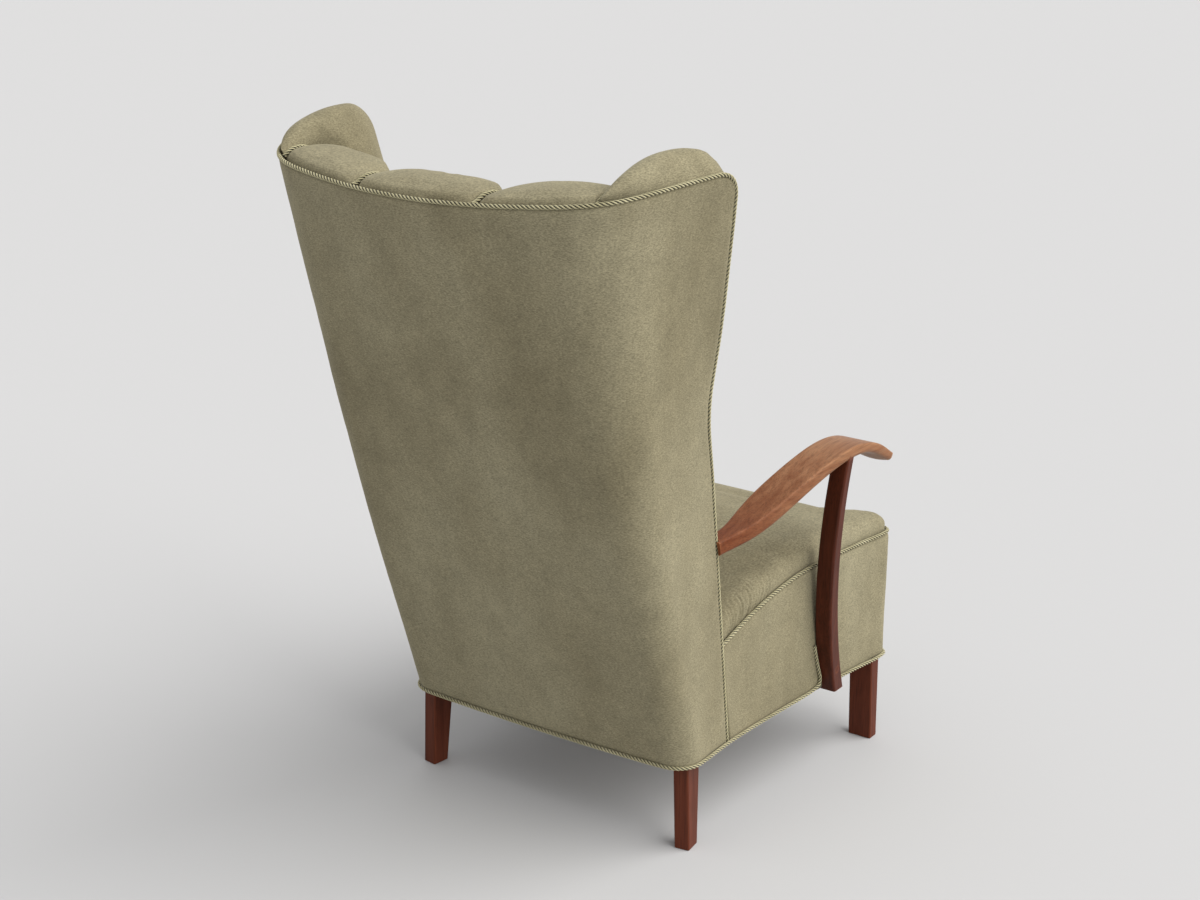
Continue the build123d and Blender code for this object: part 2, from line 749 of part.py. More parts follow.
def back_side_cut():
    """All that lies behind the seat pad's rear plane."""
    low = 100.0
    high = 520.0
    far = 400.0
    return cross_block([(seat_rear_y(low), low), (seat_rear_y(high), high), (far, high), (far, low)])


def seat_side_cut():
    """The space of the seat pad's rear end, ahead of its rear plane."""
    low = PAD_BOTTOM_Z - 20.0
    high = seat_cord_z(SEAT_REAR_Y) + SEAT_CROWN + CORD
    near = SEAT_REAR_Y - 100.0
    line = [(seat_rear_y(z) + SOFT_GAP, z) for z in (low, high)]
    return cross_block(line + [(near, high), (near, low)])


def seat_core(inset):
    return Pos(0, 0, BASE_Z) * raised(seat_outline(inset, 60.0), SEAT_CORD_Z)


def seat_pad(posts):
    crown = Solid.make_loft([seat_section(*station) for station in seat_stations()], ruled=True)
    core = seat_core(BORDER + 5.0) & cord_profile(-CORE_LAP, 0.0)
    core = core - slab_under(0.0, 400.0)
    pad = (crown + core) - back_side_cut()
    for post in posts:
        pad = pad - post
    return pad


def spring_cloth():
    sheet = seat_core(BORDER + SOFT_GAP) & slab_under(SOFT_GAP, CLOTH)
    return sheet - back_side_cut()


def front_turn(inset):
    """Right half of a line round the seat's front, from the side to the middle."""
    corner = CORNER_ROUND * 0.16
    return [
        (-(FRONT_HALF - 2.0 - inset), FRONT_CORNER_Y + 38.0),
        (-(FRONT_HALF - corner - inset * 0.7), FRONT_CORNER_Y + corner + inset * 0.7),
        (-(FRONT_HALF - 40.0), FRONT_CORNER_Y - 3.0 + inset),
        (-150.0, FRONT_CORNER_Y - FRONT_BOW * 0.79 + inset),
        (0.0, FRONT_CORNER_Y - FRONT_BOW + inset),
    ]


def seat_cord_points():
    """Right half of the cord between the seat pad and its border, from the back to the front middle."""
    inset = 0.5
    points = []
    for y in spread(SEAT_CORD_REAR_Y - 2.0, FRONT_CORNER_Y + 90.0, 8):
        points.append((-(border_x(y) - inset), y, seat_cord_z(y)))
    return points + [(x, y, SEAT_CORD_Z) for x, y in front_turn(inset)]


def seat_cord():
    return tube(smooth_route(mirrored_route(seat_cord_points())), CORD_R)


def base_cord():
    """Cord along the lower edge: one length round the rear with a rise at each post, one round the front."""
    out = CORD_CLEAR
    z = BASE_Z + CORD_R
    shell = ShellSection(z)
    half_z = (NOTCH_Z + z) / 2
    foot_y = post_rear_y(z + NOTCH_TURN) + out
    rear = [
        (post_rear_x(NOTCH_Z), post_rear_y(NOTCH_Z) + out, NOTCH_Z),
        (border_x(post_rear_y(half_z)) + 1.0, post_rear_y(half_z) + out + CORD_EASE, half_z),
        (border_x(foot_y) + out, foot_y, z + NOTCH_TURN),
        (border_x(foot_y + NOTCH_TURN) + out, foot_y + NOTCH_TURN, z),
        (border_x(-250.0) + out, -250.0, z),
        (border_x(EDGE_Y) + out, EDGE_Y - 6.0, z),
    ]
    for turn in spread(0.0, 1.0, CORNER_POINTS):
        rear.append(shell.corner_point(shell.between(turn), -out) + (z,))
    for x in spread(rear[-1][0] * 0.75, 0.0, 4):
        rear.append((x, shell.rear_y(x) + out, z))
    front_y = post_rear_y(z) - POST_FOOT - out
    front = [(border_x(front_y) + out, front_y, z), (border_x(-500.0) + out, -500.0, z)]
    front += [(-x, y, z) for x, y in front_turn(-out)]
    lengths = [tube(smooth_route(mirrored_route(run)), CORD_R).solid() for run in (rear, front)]
    return Compound(lengths)


# Seat frame and suspension

def seat_frame(posts):
    ring_out = BORDER + SOFT_GAP
    rear_y = 60.0
    ring = seat_outline(ring_out, rear_y) - seat_outline(ring_out + RAIL, rear_y + 10.0)
    wall = Pos(0, 0, RAIL_Z) * raised(ring, RAIL_HEIGHT)
    post_x = front_post_x()
    post_y = FRONT_CORNER_Y + ring_out + 6.0
    front = wall & block(-post_x + JOINT_GAP, post_x - JOINT_GAP, -900.0, post_y + RAIL, 0.0, 900.0)
    side_y = post_y + FRONT_POST + JOINT_GAP
    side = wall & block(0.0, FRONT_HALF, side_y, rear_y, RAIL_Z, RAIL_Z + RAIL_HEIGHT)
    side = side - lean_block(0.0, 900.0, SPLIT_BACK + JOINT_GAP - 400.0, 400.0, 0.0, 500.0)
    for cutter in posts:
        side = side - cutter
    corner = seat_core(ring_out) & block(
        post_x, post_x + FRONT_POST, post_y, post_y + FRONT_POST, BASE_Z, RAIL_Z + RAIL_HEIGHT
    )
    return {"front_rail": front, "side_rail_left": side, "front_post_left": corner}


def front_post_x():
    return FRONT_HALF - BORDER - FRONT_POST - 12.0


def corner_blocks():
    """Glue blocks in the four corners of the seat frame."""
    z = RAIL_Z + (RAIL_HEIGHT - BLOCK_HEIGHT) / 2
    ring_out = BORDER + SOFT_GAP
    front_x = front_post_x() - JOINT_GAP
    rail_y = FRONT_CORNER_Y - FRONT_BOW * 0.2 + ring_out + RAIL + JOINT_GAP
    front = [(front_x, rail_y), (front_x - BLOCK, rail_y), (front_x, rail_y + BLOCK * 0.3)]
    rear_x = UPRIGHT_X
    split_y = centre_y(z) - SPLIT_BACK + 6.0
    rear = [(rear_x, split_y), (rear_x - BLOCK, split_y + BLOCK), (rear_x, split_y + BLOCK)]
    wall = shell_wall(FRAME_OUT + JOINT_GAP, 0.0, 0.0, 0.0)
    solids = []
    for outline in (front, rear):
        plan = Face(Wire.make_polygon([p + (0,) for p in outline], close=True))
        prism = Pos(0, 0, z) * raised(plan, BLOCK_HEIGHT)
        prism = prism - wall
        solids += [prism.solid(), other_side(prism).solid()]
    return Compound(solids)


def seat_webbing():
    """Straps under the rails: a lower layer front to back and an upper layer side to side."""
    front_y = FRONT_CORNER_Y + BORDER + 8.0
    rear_y = centre_y(RAIL_Z) - FRAME_OUT + FRAME_DEPTH / 2
    half = EDGE_X - BORDER - 8.0
    low = RAIL_Z - JOINT_GAP - 2 * WEB - LAYER_GAP
    high = RAIL_Z - JOINT_GAP - WEB
    straps = []
    for x in (-SPRING_SPACING, 0.0, SPRING_SPACING):
        straps.append(block(x - WEB_WIDTH / 2, x + WEB_WIDTH / 2, front_y, rear_y, low, low + WEB).solid())
    for y in SPRING_ROWS_Y:
        straps.append(block(-half, half, y - WEB_WIDTH / 2, y + WEB_WIDTH / 2, high, high + WEB).solid())
    return Compound(straps)


def coil_spring(height):
    """Round coil whose half turns are tilted half circles, each tangent to the next."""
    radius = SPRING_RADIUS
    half_turns = SPRING_TURNS * 2
    rise = (height - SPRING_WIRE) / half_turns
    edges = []
    for index in range(half_turns):
        sign = 1 if index % 2 == 0 else -1
        z = SPRING_WIRE / 2 + index * rise
        arc_radius = math.hypot(radius, rise / 2)
        edges.append(ThreePointArc(
            (sign * radius, 0, z),
            (0, sign * arc_radius, z + rise / 2),
            (-sign * radius, 0, z + rise),
        ).edge())
    return tube(Wire(edges), SPRING_WIRE / 2)


def seat_springs():
    foot = RAIL_Z - JOINT_GAP + LAYER_GAP
    solids = []
    for y in SPRING_ROWS_Y:
        slope = (SEAT_CORE_FRONT_Z - SEAT_CORE_REAR_Z) / (SEAT_REAR_Y - FRONT_CORNER_Y)
        head = core_bottom_z(y) - SOFT_GAP - CLOTH - LAYER_GAP - slope * (SPRING_RADIUS + SPRING_WIRE)
        spring = coil_spring(head - foot)
        pitch = (head - foot - SPRING_WIRE) / SPRING_TURNS
        print("spring least gap", round(pitch - SPRING_WIRE, 2))
        for x in (-SPRING_SPACING, 0.0, SPRING_SPACING):
            solids.append((Pos(x, y, foot) * spring).solid())
    return Compound(solids)


def dust_cloth(cut_outs):
    low = BASE_Z - LAYER_GAP - DUST_CLOTH
    sheet = Pos(0, 0, low) * raised(seat_outline(2.0, 0.0), DUST_CLOTH)
    shell = ShellSection(BASE_Z)
    rear = Pos(0, 0, low - BASE_Z) * raised(Face(shell.wire(2.0, 0.0)), DUST_CLOTH)
    sheet = sheet + rear
    return drill(sheet, cut_outs)


# Legs, arms and posts

def leg(foot_corner, top_corner, foot_size, top_size, turn):
    """Tapered leg between two rounded rectangles, each placed by its rear outer corner."""
    sections = []
    top = BASE_Z - LAYER_GAP
    for corner, size, z in ((foot_corner, foot_size, 0.0), (top_corner, top_size, top)):
        outline = Pos(-size[0] / 2, -size[1] / 2) * RectangleRounded(size[0], size[1], LEG_ROUND)
        sections.append((Pos(corner[0], corner[1], z) * Rot(0, 0, turn) * outline).face().outer_wire())
    shape = Solid.make_loft(sections, ruled=True)
    foot_edges = shape.faces().sort_by(Axis.Z)[0].edges()
    return chamfer(foot_edges, LEG_ROUND / 2)


def front_leg():
    foot = (FRONT_LEG_X + LEG_SPLAY, FRONT_LEG_Y + LEG_SPLAY / 2)
    return leg(foot, (FRONT_LEG_X, FRONT_LEG_Y), (LEG_WIDE, FRONT_FOOT), (LEG_WIDE, LEG_NARROW), 0.0)


def rear_leg():
    top = (REAR_LEG_X - LEG_SPLAY, REAR_LEG_Y)
    foot = (REAR_LEG_X, REAR_LEG_Y)
    return leg(foot, top, (LEG_NARROW, LEG_FOOT), (LEG_NARROW, LEG_WIDE), -REAR_LEG_TURN)


def arm_x(out):
    """X of the arm's middle line, from the back's edge at 0 to the post's head at 1."""
    rear = EDGE_X - ARM_REAR_INSET
    return rear + (post_outer_x(POST_HEAD_Z) - ARM_FRONT_INSET - rear) * out


def arm_section(station, tangent, grow):
    y, z, out, width, thick = station
    x = arm_x(out)
    plane = Plane(origin=(x, y, z), x_dir=(1, 0, 0), z_dir=(0, tangent[0], tangent[1]))
    half = width / 2 + grow
    low = -thick / 2 - grow
    high = thick / 2 + grow
    edge = min(ARM_EDGE, thick * 0.45)
    foot = edge * 0.4
    lean = edge * (1 - math.sqrt(0.5))
    dip = foot * (1 - math.sqrt(0.5))
    rim = high - ARM_SWELL

    def at(a, b):
        return plane.from_local_coords((a, b, 0))

    return Wire([
        Line(at(foot - half, low), at(half - foot, low)).edge(),
        ThreePointArc(at(half - foot, low), at(half - dip, low + dip), at(half, low + foot)).edge(),
        Line(at(half, low + foot), at(half, rim - edge)).edge(),
        ThreePointArc(at(half, rim - edge), at(half - lean, rim - lean), at(half - edge, rim)).edge(),
        ThreePointArc(at(half - edge, rim), at(0, high), at(edge - half, rim)).edge(),
        ThreePointArc(at(edge - half, rim), at(lean - half, rim - lean), at(-half, rim - edge)).edge(),
        Line(at(-half, rim - edge), at(-half, low + foot)).edge(),
        ThreePointArc(at(-half, low + foot), at(dip - half, low + dip), at(foot - half, low)).edge(),
    ])


def arm(grow=0.0):
    """Flat arm, narrow at the back, wide and curled over in front, lofted along its middle line."""
    sections = []
    last = len(ARM_STATIONS) - 1
    for index, station in enumerate(ARM_STATIONS):
        before = ARM_STATIONS[max(0, index - 1)]
        after = ARM_STATIONS[min(last, index + 1)]
        tangent = unit(before[0] - after[0], before[1] - after[1])
        sections.append(arm_section(station, tangent, grow))
    return Solid.make_loft(sections)


def post_part(z):
    return (z - POST_FOOT_Z) / (POST_HEAD_Z - POST_FOOT_Z)


def post_rear_y(z):
    """Rear face of the post, bowed backwards at mid height."""
    part = post_part(z)
    straight = POST_FOOT_Y + (POST_HEAD_Y - POST_FOOT_Y) * part
    bow = POST_BOW_Y - (POST_FOOT_Y + POST_HEAD_Y) / 2
    return straight + 4 * bow * part * (1 - part)


def post_outer_x(z):
    """Outer face of the post, which stands off the border and leans outwards."""
    return border_x(POST_FOOT_Y) + POST_STAND + POST_LEAN * post_part(z)


def post_rear_x(z):
    """Inner face of the post where its rear edge meets the border's cloth."""
    return border_x(post_rear_y(z)) + CORD_GAP


def post_blank(grow, foot_z):
    sections = []
    steps = 5
    head_z = POST_HEAD_Z + 8.0
    for index in range(steps):
        z = foot_z + (head_z - foot_z) * index / (steps - 1)
        part = post_part(z)
        depth = POST_FOOT + (POST_HEAD - POST_FOOT) * part
        size = (POST_WIDE + 2 * grow, depth + 2 * grow)
        middle = (post_outer_x(z) - POST_WIDE / 2, post_rear_y(z) - depth / 2)
        outline = RectangleRounded(size[0], size[1], POST_ROUND + grow)
        sections.append((Pos(middle[0], middle[1], z) * outline).face().outer_wire())
    return Solid.make_loft(sections)


def arm_post():
    return post_blank(0.0, POST_FOOT_Z) - arm(JOINT_GAP)


def post_foot_cut():
    """Opening in the border round the foot of the post, with room for the cord behind it."""
    room = CORD + 2 * (CORD_GAP + CORD_EASE)
    return post_blank(room, POST_FOOT_Z - 20.0) & block(-900, 900, -900, 900, 0.0, NOTCH_Z + CORD_R)


# Fasteners

def pin(centre, axis, diameter, length):
    return Plane(origin=centre, z_dir=axis) * Cylinder(diameter / 2, length)


def pins_and_holes(places, diameter):
    """Pins at some places and the slightly larger holes that they sit in."""
    pins = [pin(place, axis, diameter, length) for place, axis, length in places]
    wide = diameter + 2 * DOWEL_GAP
    holes = [pin(place, axis, wide, length + 2 * HOLE_END) for place, axis, length in places]
    return pins, holes


def leg_dowel_places():
    turn = math.radians(REAR_LEG_TURN)
    back = LEG_NARROW / 2
    rear_x = REAR_LEG_X - LEG_SPLAY - back * math.cos(turn)
    rear_y = REAR_LEG_Y - back
    front_x = front_post_x() + FRONT_POST * 0.72
    front_y = FRONT_LEG_Y - LEG_NARROW / 2
    return [(rear_x, rear_y, BASE_Z), (front_x, front_y, BASE_Z)]


def frame_dowel_places():
    """Place and axis of each dowel on the left half of the frame."""
    middle = FRAME_IN + FRAME_DEPTH / 2
    crest = TOP_Z - FRAME_DROP - CREST_RAIL_HEIGHT / 2
    places = []
    for z in (RAIL_Z + RAIL_HEIGHT / 2, LOWER_RAIL_Z, MIDDLE_RAIL_Z, crest):
        y = ShellSection(z).rear_y(UPRIGHT_X) - middle
        places.append(((UPRIGHT_X, y, z), (1, 0, 0)))
    z = RAIL_Z + RAIL_HEIGHT / 2
    ring = BORDER + SOFT_GAP + RAIL / 2
    places.append(((front_post_x(), FRONT_CORNER_Y + ring, z), (1, 0, 0)))
    post_y = FRONT_CORNER_Y + BORDER + SOFT_GAP + 6.0 + FRONT_POST
    places.append(((border_x(post_y) - ring, post_y, z), (0, 1, 0)))
    places.append(((EDGE_X - ring, centre_y(z) - SPLIT_BACK, z), (0, 1, 0)))
    return places


def arm_dowel_places():
    first = ARM_STATIONS[0]
    head_x = post_outer_x(POST_HEAD_Z) - POST_WIDE / 2
    head_y = post_rear_y(POST_HEAD_Z) - POST_HEAD / 2
    return [
        ((arm_x(first[2]), first[0] + FRAME_TRIM / 2, first[1]), (0, 1, 0), DOWEL_LENGTH),
        ((head_x, head_y, POST_HEAD_Z - HEAD_DOWEL_DROP), (0, 0, 1), HEAD_DOWEL_LENGTH),
    ]


def both(pieces):
    solids = []
    for piece in pieces:
        solids += [piece.solid(), other_side(piece).solid()]
    return Compound(solids)


def drill(piece, holes):
    for hole in holes:
        piece = piece - hole
    return piece


def build_chair():
    grown_post = post_blank(SOFT_GAP, POST_FOOT_Z - 20.0)
    grown_posts = [grown_post, other_side(grown_post)]
    foot_cut = post_foot_cut()
    foot_cuts = [foot_cut, other_side(foot_cut)]

    leg_places = [(place, (0, 0, 1), DOWEL_LENGTH) for place in leg_dowel_places()]
    frame_places = [(place, axis, DOWEL_LENGTH) for place, axis in frame_dowel_places()]
    leg_pins, leg_holes = pins_and_holes(leg_places, DOWEL)
    frame_pins, frame_holes = pins_and_holes(frame_places, DOWEL)
    arm_pins, arm_holes = pins_and_holes(arm_dowel_places(), DOWEL)

    face_x = post_outer_x(PLUG_Z)
    plug_y = post_rear_y(PLUG_Z) - POST_FOOT / 2
    plug_place = (face_x - PLUG_DEPTH / 2, plug_y, PLUG_Z)
    plug = pin(plug_place, (1, 0, 0), PLUG, PLUG_DEPTH)
    bored_x = face_x - PLUG_DEPTH - DOWEL_GAP
    plug_hole = pin((bored_x + POST_WIDE / 2, plug_y, PLUG_Z), (1, 0, 0), PLUG + 2 * DOWEL_GAP, POST_WIDE)
    screw_end = face_x - PLUG_DEPTH - JOINT_GAP
    screw_place = (screw_end - SCREW_LENGTH / 2, plug_y, PLUG_Z)
    (screw,), (screw_hole,) = pins_and_holes([(screw_place, (1, 0, 0), SCREW_LENGTH)], SCREW)

    edge_groove = back_edge_cord(CORD_R + CORD_GAP)
    arm_left = drill(arm(), arm_holes + [edge_groove]).solids().sort_by(SortBy.VOLUME)[-1]
    post_left = drill(arm_post(), arm_holes + [plug_hole, screw_hole])
    chair = {
        "outside_back": drill(outside_back(), [edge_groove]),
        "seat_pad": seat_pad(grown_posts),
        "seat_border": seat_border(grown_posts, foot_cuts),
        "spring_cloth": spring_cloth(),
        "seat_webbing": seat_webbing(),
        "seat_springs": seat_springs(),
        "back_webbing": back_webbing(),
        "back_cloth": back_cloth(),
        "corner_blocks": corner_blocks(),
        "back_edge_cord": back_edge_cord(CORD_R),
        "back_seam_cords": back_seam_cords(),
        "seat_cord": seat_cord(),
        "base_cord": base_cord(),
        "leg_dowels": both(leg_pins),
        "frame_dowels": both(frame_pins),
        "arm_dowels": both(arm_pins),
        "post_plugs": both([plug]),
        "post_screws": both([screw]),
    }
    chair.update(back_pads([arm(SOFT_GAP)] + arm_holes))

    legs = {"front_leg_left": front_leg(), "rear_leg_left": rear_leg()}
    halves = {"arm_left": arm_left, "arm_post_left": post_left}
    frame = back_frame()
    frame.update(seat_frame([grown_post]))
    holes = leg_holes + frame_holes + arm_holes + [screw_hole]
    for name, piece in frame.items():
        drilled = drill(piece, holes)
        if name.endswith("_left"):
            halves[name] = drilled
        else:
            chair[name] = drill(drilled, [other_side(hole) for hole in holes])
    for name, piece in legs.items():
        halves[name] = drill(piece, leg_holes)
    for name, piece in halves.items():
        chair[name] = piece
        chair[name.replace("_left", "_right")] = other_side(piece)

    grown_legs = []
    for name, piece in legs.items():
        top = BASE_Z - DUST_CLOTH
        box = piece.bounding_box()
        slot = block(box.min.X - 1.0, box.max.X + 1.0, box.min.Y - 1.0, box.max.Y + 1.0, top - 4.0, top + 6.0)
        grown_legs += [slot, other_side(slot)]
    chair["dust_cloth"] = dust_cloth(grown_legs + grown_posts)
    return chair


def main():
    os.makedirs("parts", exist_ok=True)
    chair = build_chair()
    boxes = [piece.bounding_box() for piece in chair.values()]
    front = min(box.min.Y for box in boxes)
    rear = max(box.max.Y for box in boxes)
    shift = Pos(0, -(front + rear) / 2, 0)
    print("shift", round(-(front + rear) / 2, 3))
    for name, piece in chair.items():
        export_step(shift * piece, f"parts/{name}.step")


main()
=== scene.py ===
# %% [markdown]
# High back armchair, dressed in Blender.
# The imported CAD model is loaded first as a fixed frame. Wooden pieces keep their CAD shape and only
# get a finish. Everything soft is made again here: the wrapped outside back, the channelled inside
# back, the sprung seat, the border below it and the twisted cords along every seam.

# %% Load the frame
import math

import bmesh
import bpy
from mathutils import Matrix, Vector, noise
from mathutils.bvhtree import BVHTree


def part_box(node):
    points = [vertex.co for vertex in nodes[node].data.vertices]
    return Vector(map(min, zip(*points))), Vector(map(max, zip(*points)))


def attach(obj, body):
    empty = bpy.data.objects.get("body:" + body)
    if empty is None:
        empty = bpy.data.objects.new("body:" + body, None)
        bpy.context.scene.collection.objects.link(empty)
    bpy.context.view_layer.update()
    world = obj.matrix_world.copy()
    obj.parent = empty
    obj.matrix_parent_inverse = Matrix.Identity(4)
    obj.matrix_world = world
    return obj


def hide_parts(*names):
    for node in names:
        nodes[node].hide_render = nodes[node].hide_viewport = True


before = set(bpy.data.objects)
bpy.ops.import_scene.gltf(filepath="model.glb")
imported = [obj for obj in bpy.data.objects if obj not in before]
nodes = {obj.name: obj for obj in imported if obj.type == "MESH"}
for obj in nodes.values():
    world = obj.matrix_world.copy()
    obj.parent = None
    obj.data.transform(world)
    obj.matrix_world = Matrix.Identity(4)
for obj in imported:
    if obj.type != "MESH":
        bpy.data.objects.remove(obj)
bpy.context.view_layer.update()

# %% [markdown]
# The chair's own measures are in millimetres, counted from the rear feet as in the workshop drawing.
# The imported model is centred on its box, so one shift along Y brings a drawing point into the frame.
# The front leg's front face is 560 mm ahead of the rear feet, and that gives the shift.

# %% Drawing measures to frame metres
FRONT_LEG_FACE_Y = -560.0
Y_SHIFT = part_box("front_leg_left")[0][1] * 1000.0 - FRONT_LEG_FACE_Y


def metres(x, y, z):
    return Vector((x / 1000.0, (y + Y_SHIFT) / 1000.0, z / 1000.0))


def drawing(place):
    return (place.x * 1000.0, place.y * 1000.0 - Y_SHIFT, place.z * 1000.0)


print("Y shift of the drawing", round(Y_SHIFT, 2), "mm")

# %% [markdown]
# The camera stands behind the chair's right side, a little above it and looking down by about
# 19 degrees, with a short telephoto lens. A tiny roll is kept, as in a picture taken by hand.

# %% Camera
CAMERA_PLACE = (-1912.4, 2602.2, 1738.6)
CAMERA_TURN = (71.161, -0.223, -145.025)
LENS = 63.64

camera_data = bpy.data.cameras.new("photo_camera")
camera_data.sensor_fit = "HORIZONTAL"
camera_data.sensor_width = 36.0
camera_data.lens = LENS
camera_data.clip_end = 50.0
camera = bpy.data.objects.new("photo_camera", camera_data)
camera.location = metres(*CAMERA_PLACE)
camera.rotation_euler = [math.radians(angle) for angle in CAMERA_TURN]
bpy.context.scene.collection.objects.link(camera)
bpy.context.scene.camera = camera
print("camera at", [round(v, 3) for v in camera.location])

# %% [markdown]
# Plain studio light: a pale floor, a bright even surround and one very wide, soft light from the
# chair's right side and above, which lightens the side panel, the seat and the lobes' tops. The
# rear of the back only gets the surround and what the floor throws back. The colours are shown as
# written, so the view transform is Standard.

# %% Floor and light
bpy.context.scene.view_settings.view_transform = "Standard"


def new_object(name, mesh):
    piece = bpy.data.objects.new(name, mesh)
    bpy.context.scene.collection.objects.link(piece)
    return piece


def node_material(name):
    """A new material with its node tree and its shader node."""
    material = bpy.data.materials.new(name)
    material.use_nodes = True
    tree = material.node_tree
    return material, tree, tree.nodes["Principled BSDF"]


def set_values(node, values):
    """Sets a node's inputs by their names."""
    for name, value in values.items():
        node.inputs[name].default_value = value


FLOOR_HALF = 14.0
FLOOR_GREY = (0.50, 0.50, 0.505, 1.0)
SURROUND_STRENGTH = 0.75
LIGHT_STRENGTH = 3.6
LIGHT_SPREAD = 75.0
LIGHT_TINT = (1.0, 0.985, 0.96)
LIGHT_FROM = Vector((-0.74, -0.22, 0.64))

floor_paint, _, floor_shader = node_material("pale_floor")
set_values(floor_shader, {"Base Color": FLOOR_GREY, "Roughness": 0.7, "Specular IOR Level": 0.2})
floor_mesh = bpy.data.meshes.new("studio_floor")
corners = [(-FLOOR_HALF, -FLOOR_HALF, 0.0), (FLOOR_HALF, -FLOOR_HALF, 0.0)]
corners += [(FLOOR_HALF, FLOOR_HALF, 0.0), (-FLOOR_HALF, FLOOR_HALF, 0.0)]
floor_mesh.from_pydata(corners, [], [(0, 1, 2, 3)])
floor = new_object("studio_floor", floor_mesh)
floor_mesh.materials.append(floor_paint)

world = bpy.data.worlds.new("studio_surround")
world.use_nodes = True
surround = world.node_tree.nodes["Background"]
set_values(surround, {"Color": (1.0, 1.0, 1.0, 1.0), "Strength": SURROUND_STRENGTH})
bpy.context.scene.world = world

light_data = bpy.data.lights.new("wide_right_light", "SUN")
light_data.energy = LIGHT_STRENGTH
light_data.angle = math.radians(LIGHT_SPREAD)
light_data.color = LIGHT_TINT
light = bpy.data.objects.new("wide_right_light", light_data)
light.rotation_euler = (-LIGHT_FROM).to_track_quat("-Z", "Y").to_euler()
bpy.context.scene.collection.objects.link(light)
print("floor, surround and one wide light")

# %% [markdown]
# A finish is a small tree of shader nodes. It could be wired up by hand in the shader editor. In a
# script a few helpers do the same for every finish: noise that lies fixed in the piece, a ramp from a
# value to a colour, a mix of two colours, and a fine relief.

# %% Shader helpers
def add(tree, kind, **settings):
    """A new node of a kind, with its settings."""
    node = tree.nodes.new(kind)
    for name, value in settings.items():
        setattr(node, name, value)
    return node


def object_noise(tree, stretch, scale, detail, roughness=0.5):
    """Noise that lies fixed in the piece, drawn out by a stretch below 1."""
    place = add(tree, "ShaderNodeTexCoord")
    mapping = add(tree, "ShaderNodeMapping")
    set_values(mapping, {"Scale": stretch})
    grain = add(tree, "ShaderNodeTexNoise")
    set_values(grain, {"Scale": scale, "Detail": detail, "Roughness": roughness})
    tree.links.new(place.outputs["Object"], mapping.inputs["Vector"])
    tree.links.new(mapping.outputs["Vector"], grain.inputs["Vector"])
    return grain.outputs["Fac"]


def grey(value):
    return (value, value, value)


def ramp(tree, source, stops):
    """Turns a value into a colour, by stops of position and colour."""
    node = add(tree, "ShaderNodeValToRGB")
    elements = node.color_ramp.elements
    for index, (position, colour) in enumerate(stops):
        element = elements[index] if index < 2 else elements.new(position)
        element.position = position
        element.color = (*colour, 1.0)
    tree.links.new(source, node.inputs["Fac"])
    return node.outputs["Color"]


def mix(tree, kind, amount, first, second):
    """Mixes two colours or colour outputs by a number or by an output."""
    node = add(tree, "ShaderNodeMix", data_type="RGBA", blend_type=kind)
    colours = [socket for socket in node.inputs if socket.type == "RGBA"]
    factor = node.inputs["Factor"]
    if isinstance(amount, float):
        factor.default_value = amount
    else:
        tree.links.new(amount, factor)
    for source, socket in ((first, colours[0]), (second, colours[1])):
        if isinstance(source, tuple):
            socket.default_value = (*source, 1.0)
        else:
            tree.links.new(source, socket)
    return [socket for socket in node.outputs if socket.type == "RGBA"][0]


def bump(tree, shader, height, strength, distance):
    """Fine relief on a shader, its depth in metres."""
    node = add(tree, "ShaderNodeBump")
    set_values(node, {"Strength": strength, "Distance": distance})
    tree.links.new(height, node.inputs["Height"])
    tree.links.new(node.outputs["Normal"], shader.inputs["Normal"])


print("shader helpers ready")

# %% [markdown]
# Velour is a cut pile on a woven ground. Seen close, it is a fine speckle. From a distance the pile
# lies in soft clouds, darker where it was brushed upwards and lighter where it is worn, and here the
# clouds run up and down the back. Noise at three sizes gives that, the largest stretched upright, and
# a little sheen gives the soft light edge of a pile.

# %% Velour
VELOUR_DARK = (0.172, 0.149, 0.090)
VELOUR_MIDDLE = (0.215, 0.190, 0.119)
VELOUR_LIGHT = (0.258, 0.232, 0.150)
# Each noise: stretch along X, Y and Z, then scale, detail and roughness.
CLOUDS = ((1.0, 1.0, 0.42), 5.0, 4.0, 0.55)
PATCHES = ((1.0, 1.0, 0.8), 26.0, 5.0, 0.65)
PILE = ((1.0, 1.0, 2.6), 260.0, 3.0, 0.7)
PATCH_STRENGTH = 0.4
PILE_STRENGTH = 0.62
PILE_DEPTH = 0.0007

velour, velour_tree, velour_shader = node_material("olive_velour")
clouds = object_noise(velour_tree, *CLOUDS)
brushed = ramp(velour_tree, clouds, ((0.30, VELOUR_DARK), (0.50, VELOUR_MIDDLE), (0.72, VELOUR_LIGHT)))
patches = object_noise(velour_tree, *PATCHES)
patch_shade = ramp(velour_tree, patches, ((0.3, grey(0.38)), (0.7, grey(0.62))))
worn = mix(velour_tree, "OVERLAY", PATCH_STRENGTH, brushed, patch_shade)
pile = object_noise(velour_tree, *PILE)
pile_shade = ramp(velour_tree, pile, ((0.28, grey(0.16)), (0.72, grey(0.84))))
speckled = mix(velour_tree, "OVERLAY", PILE_STRENGTH, worn, pile_shade)
velour_tree.links.new(speckled, velour_shader.inputs["Base Color"])
set_values(velour_shader, {
    "Roughness": 0.92,
    "Specular IOR Level": 0.12,
    "Sheen Weight": 0.22,
    "Sheen Roughness": 0.45,
    "Sheen Tint": (0.80, 0.76, 0.58, 1.0),
})
bump(velour_tree, velour_shader, pile, 0.35, PILE_DEPTH)
print("velour with clouds, patches and pile")

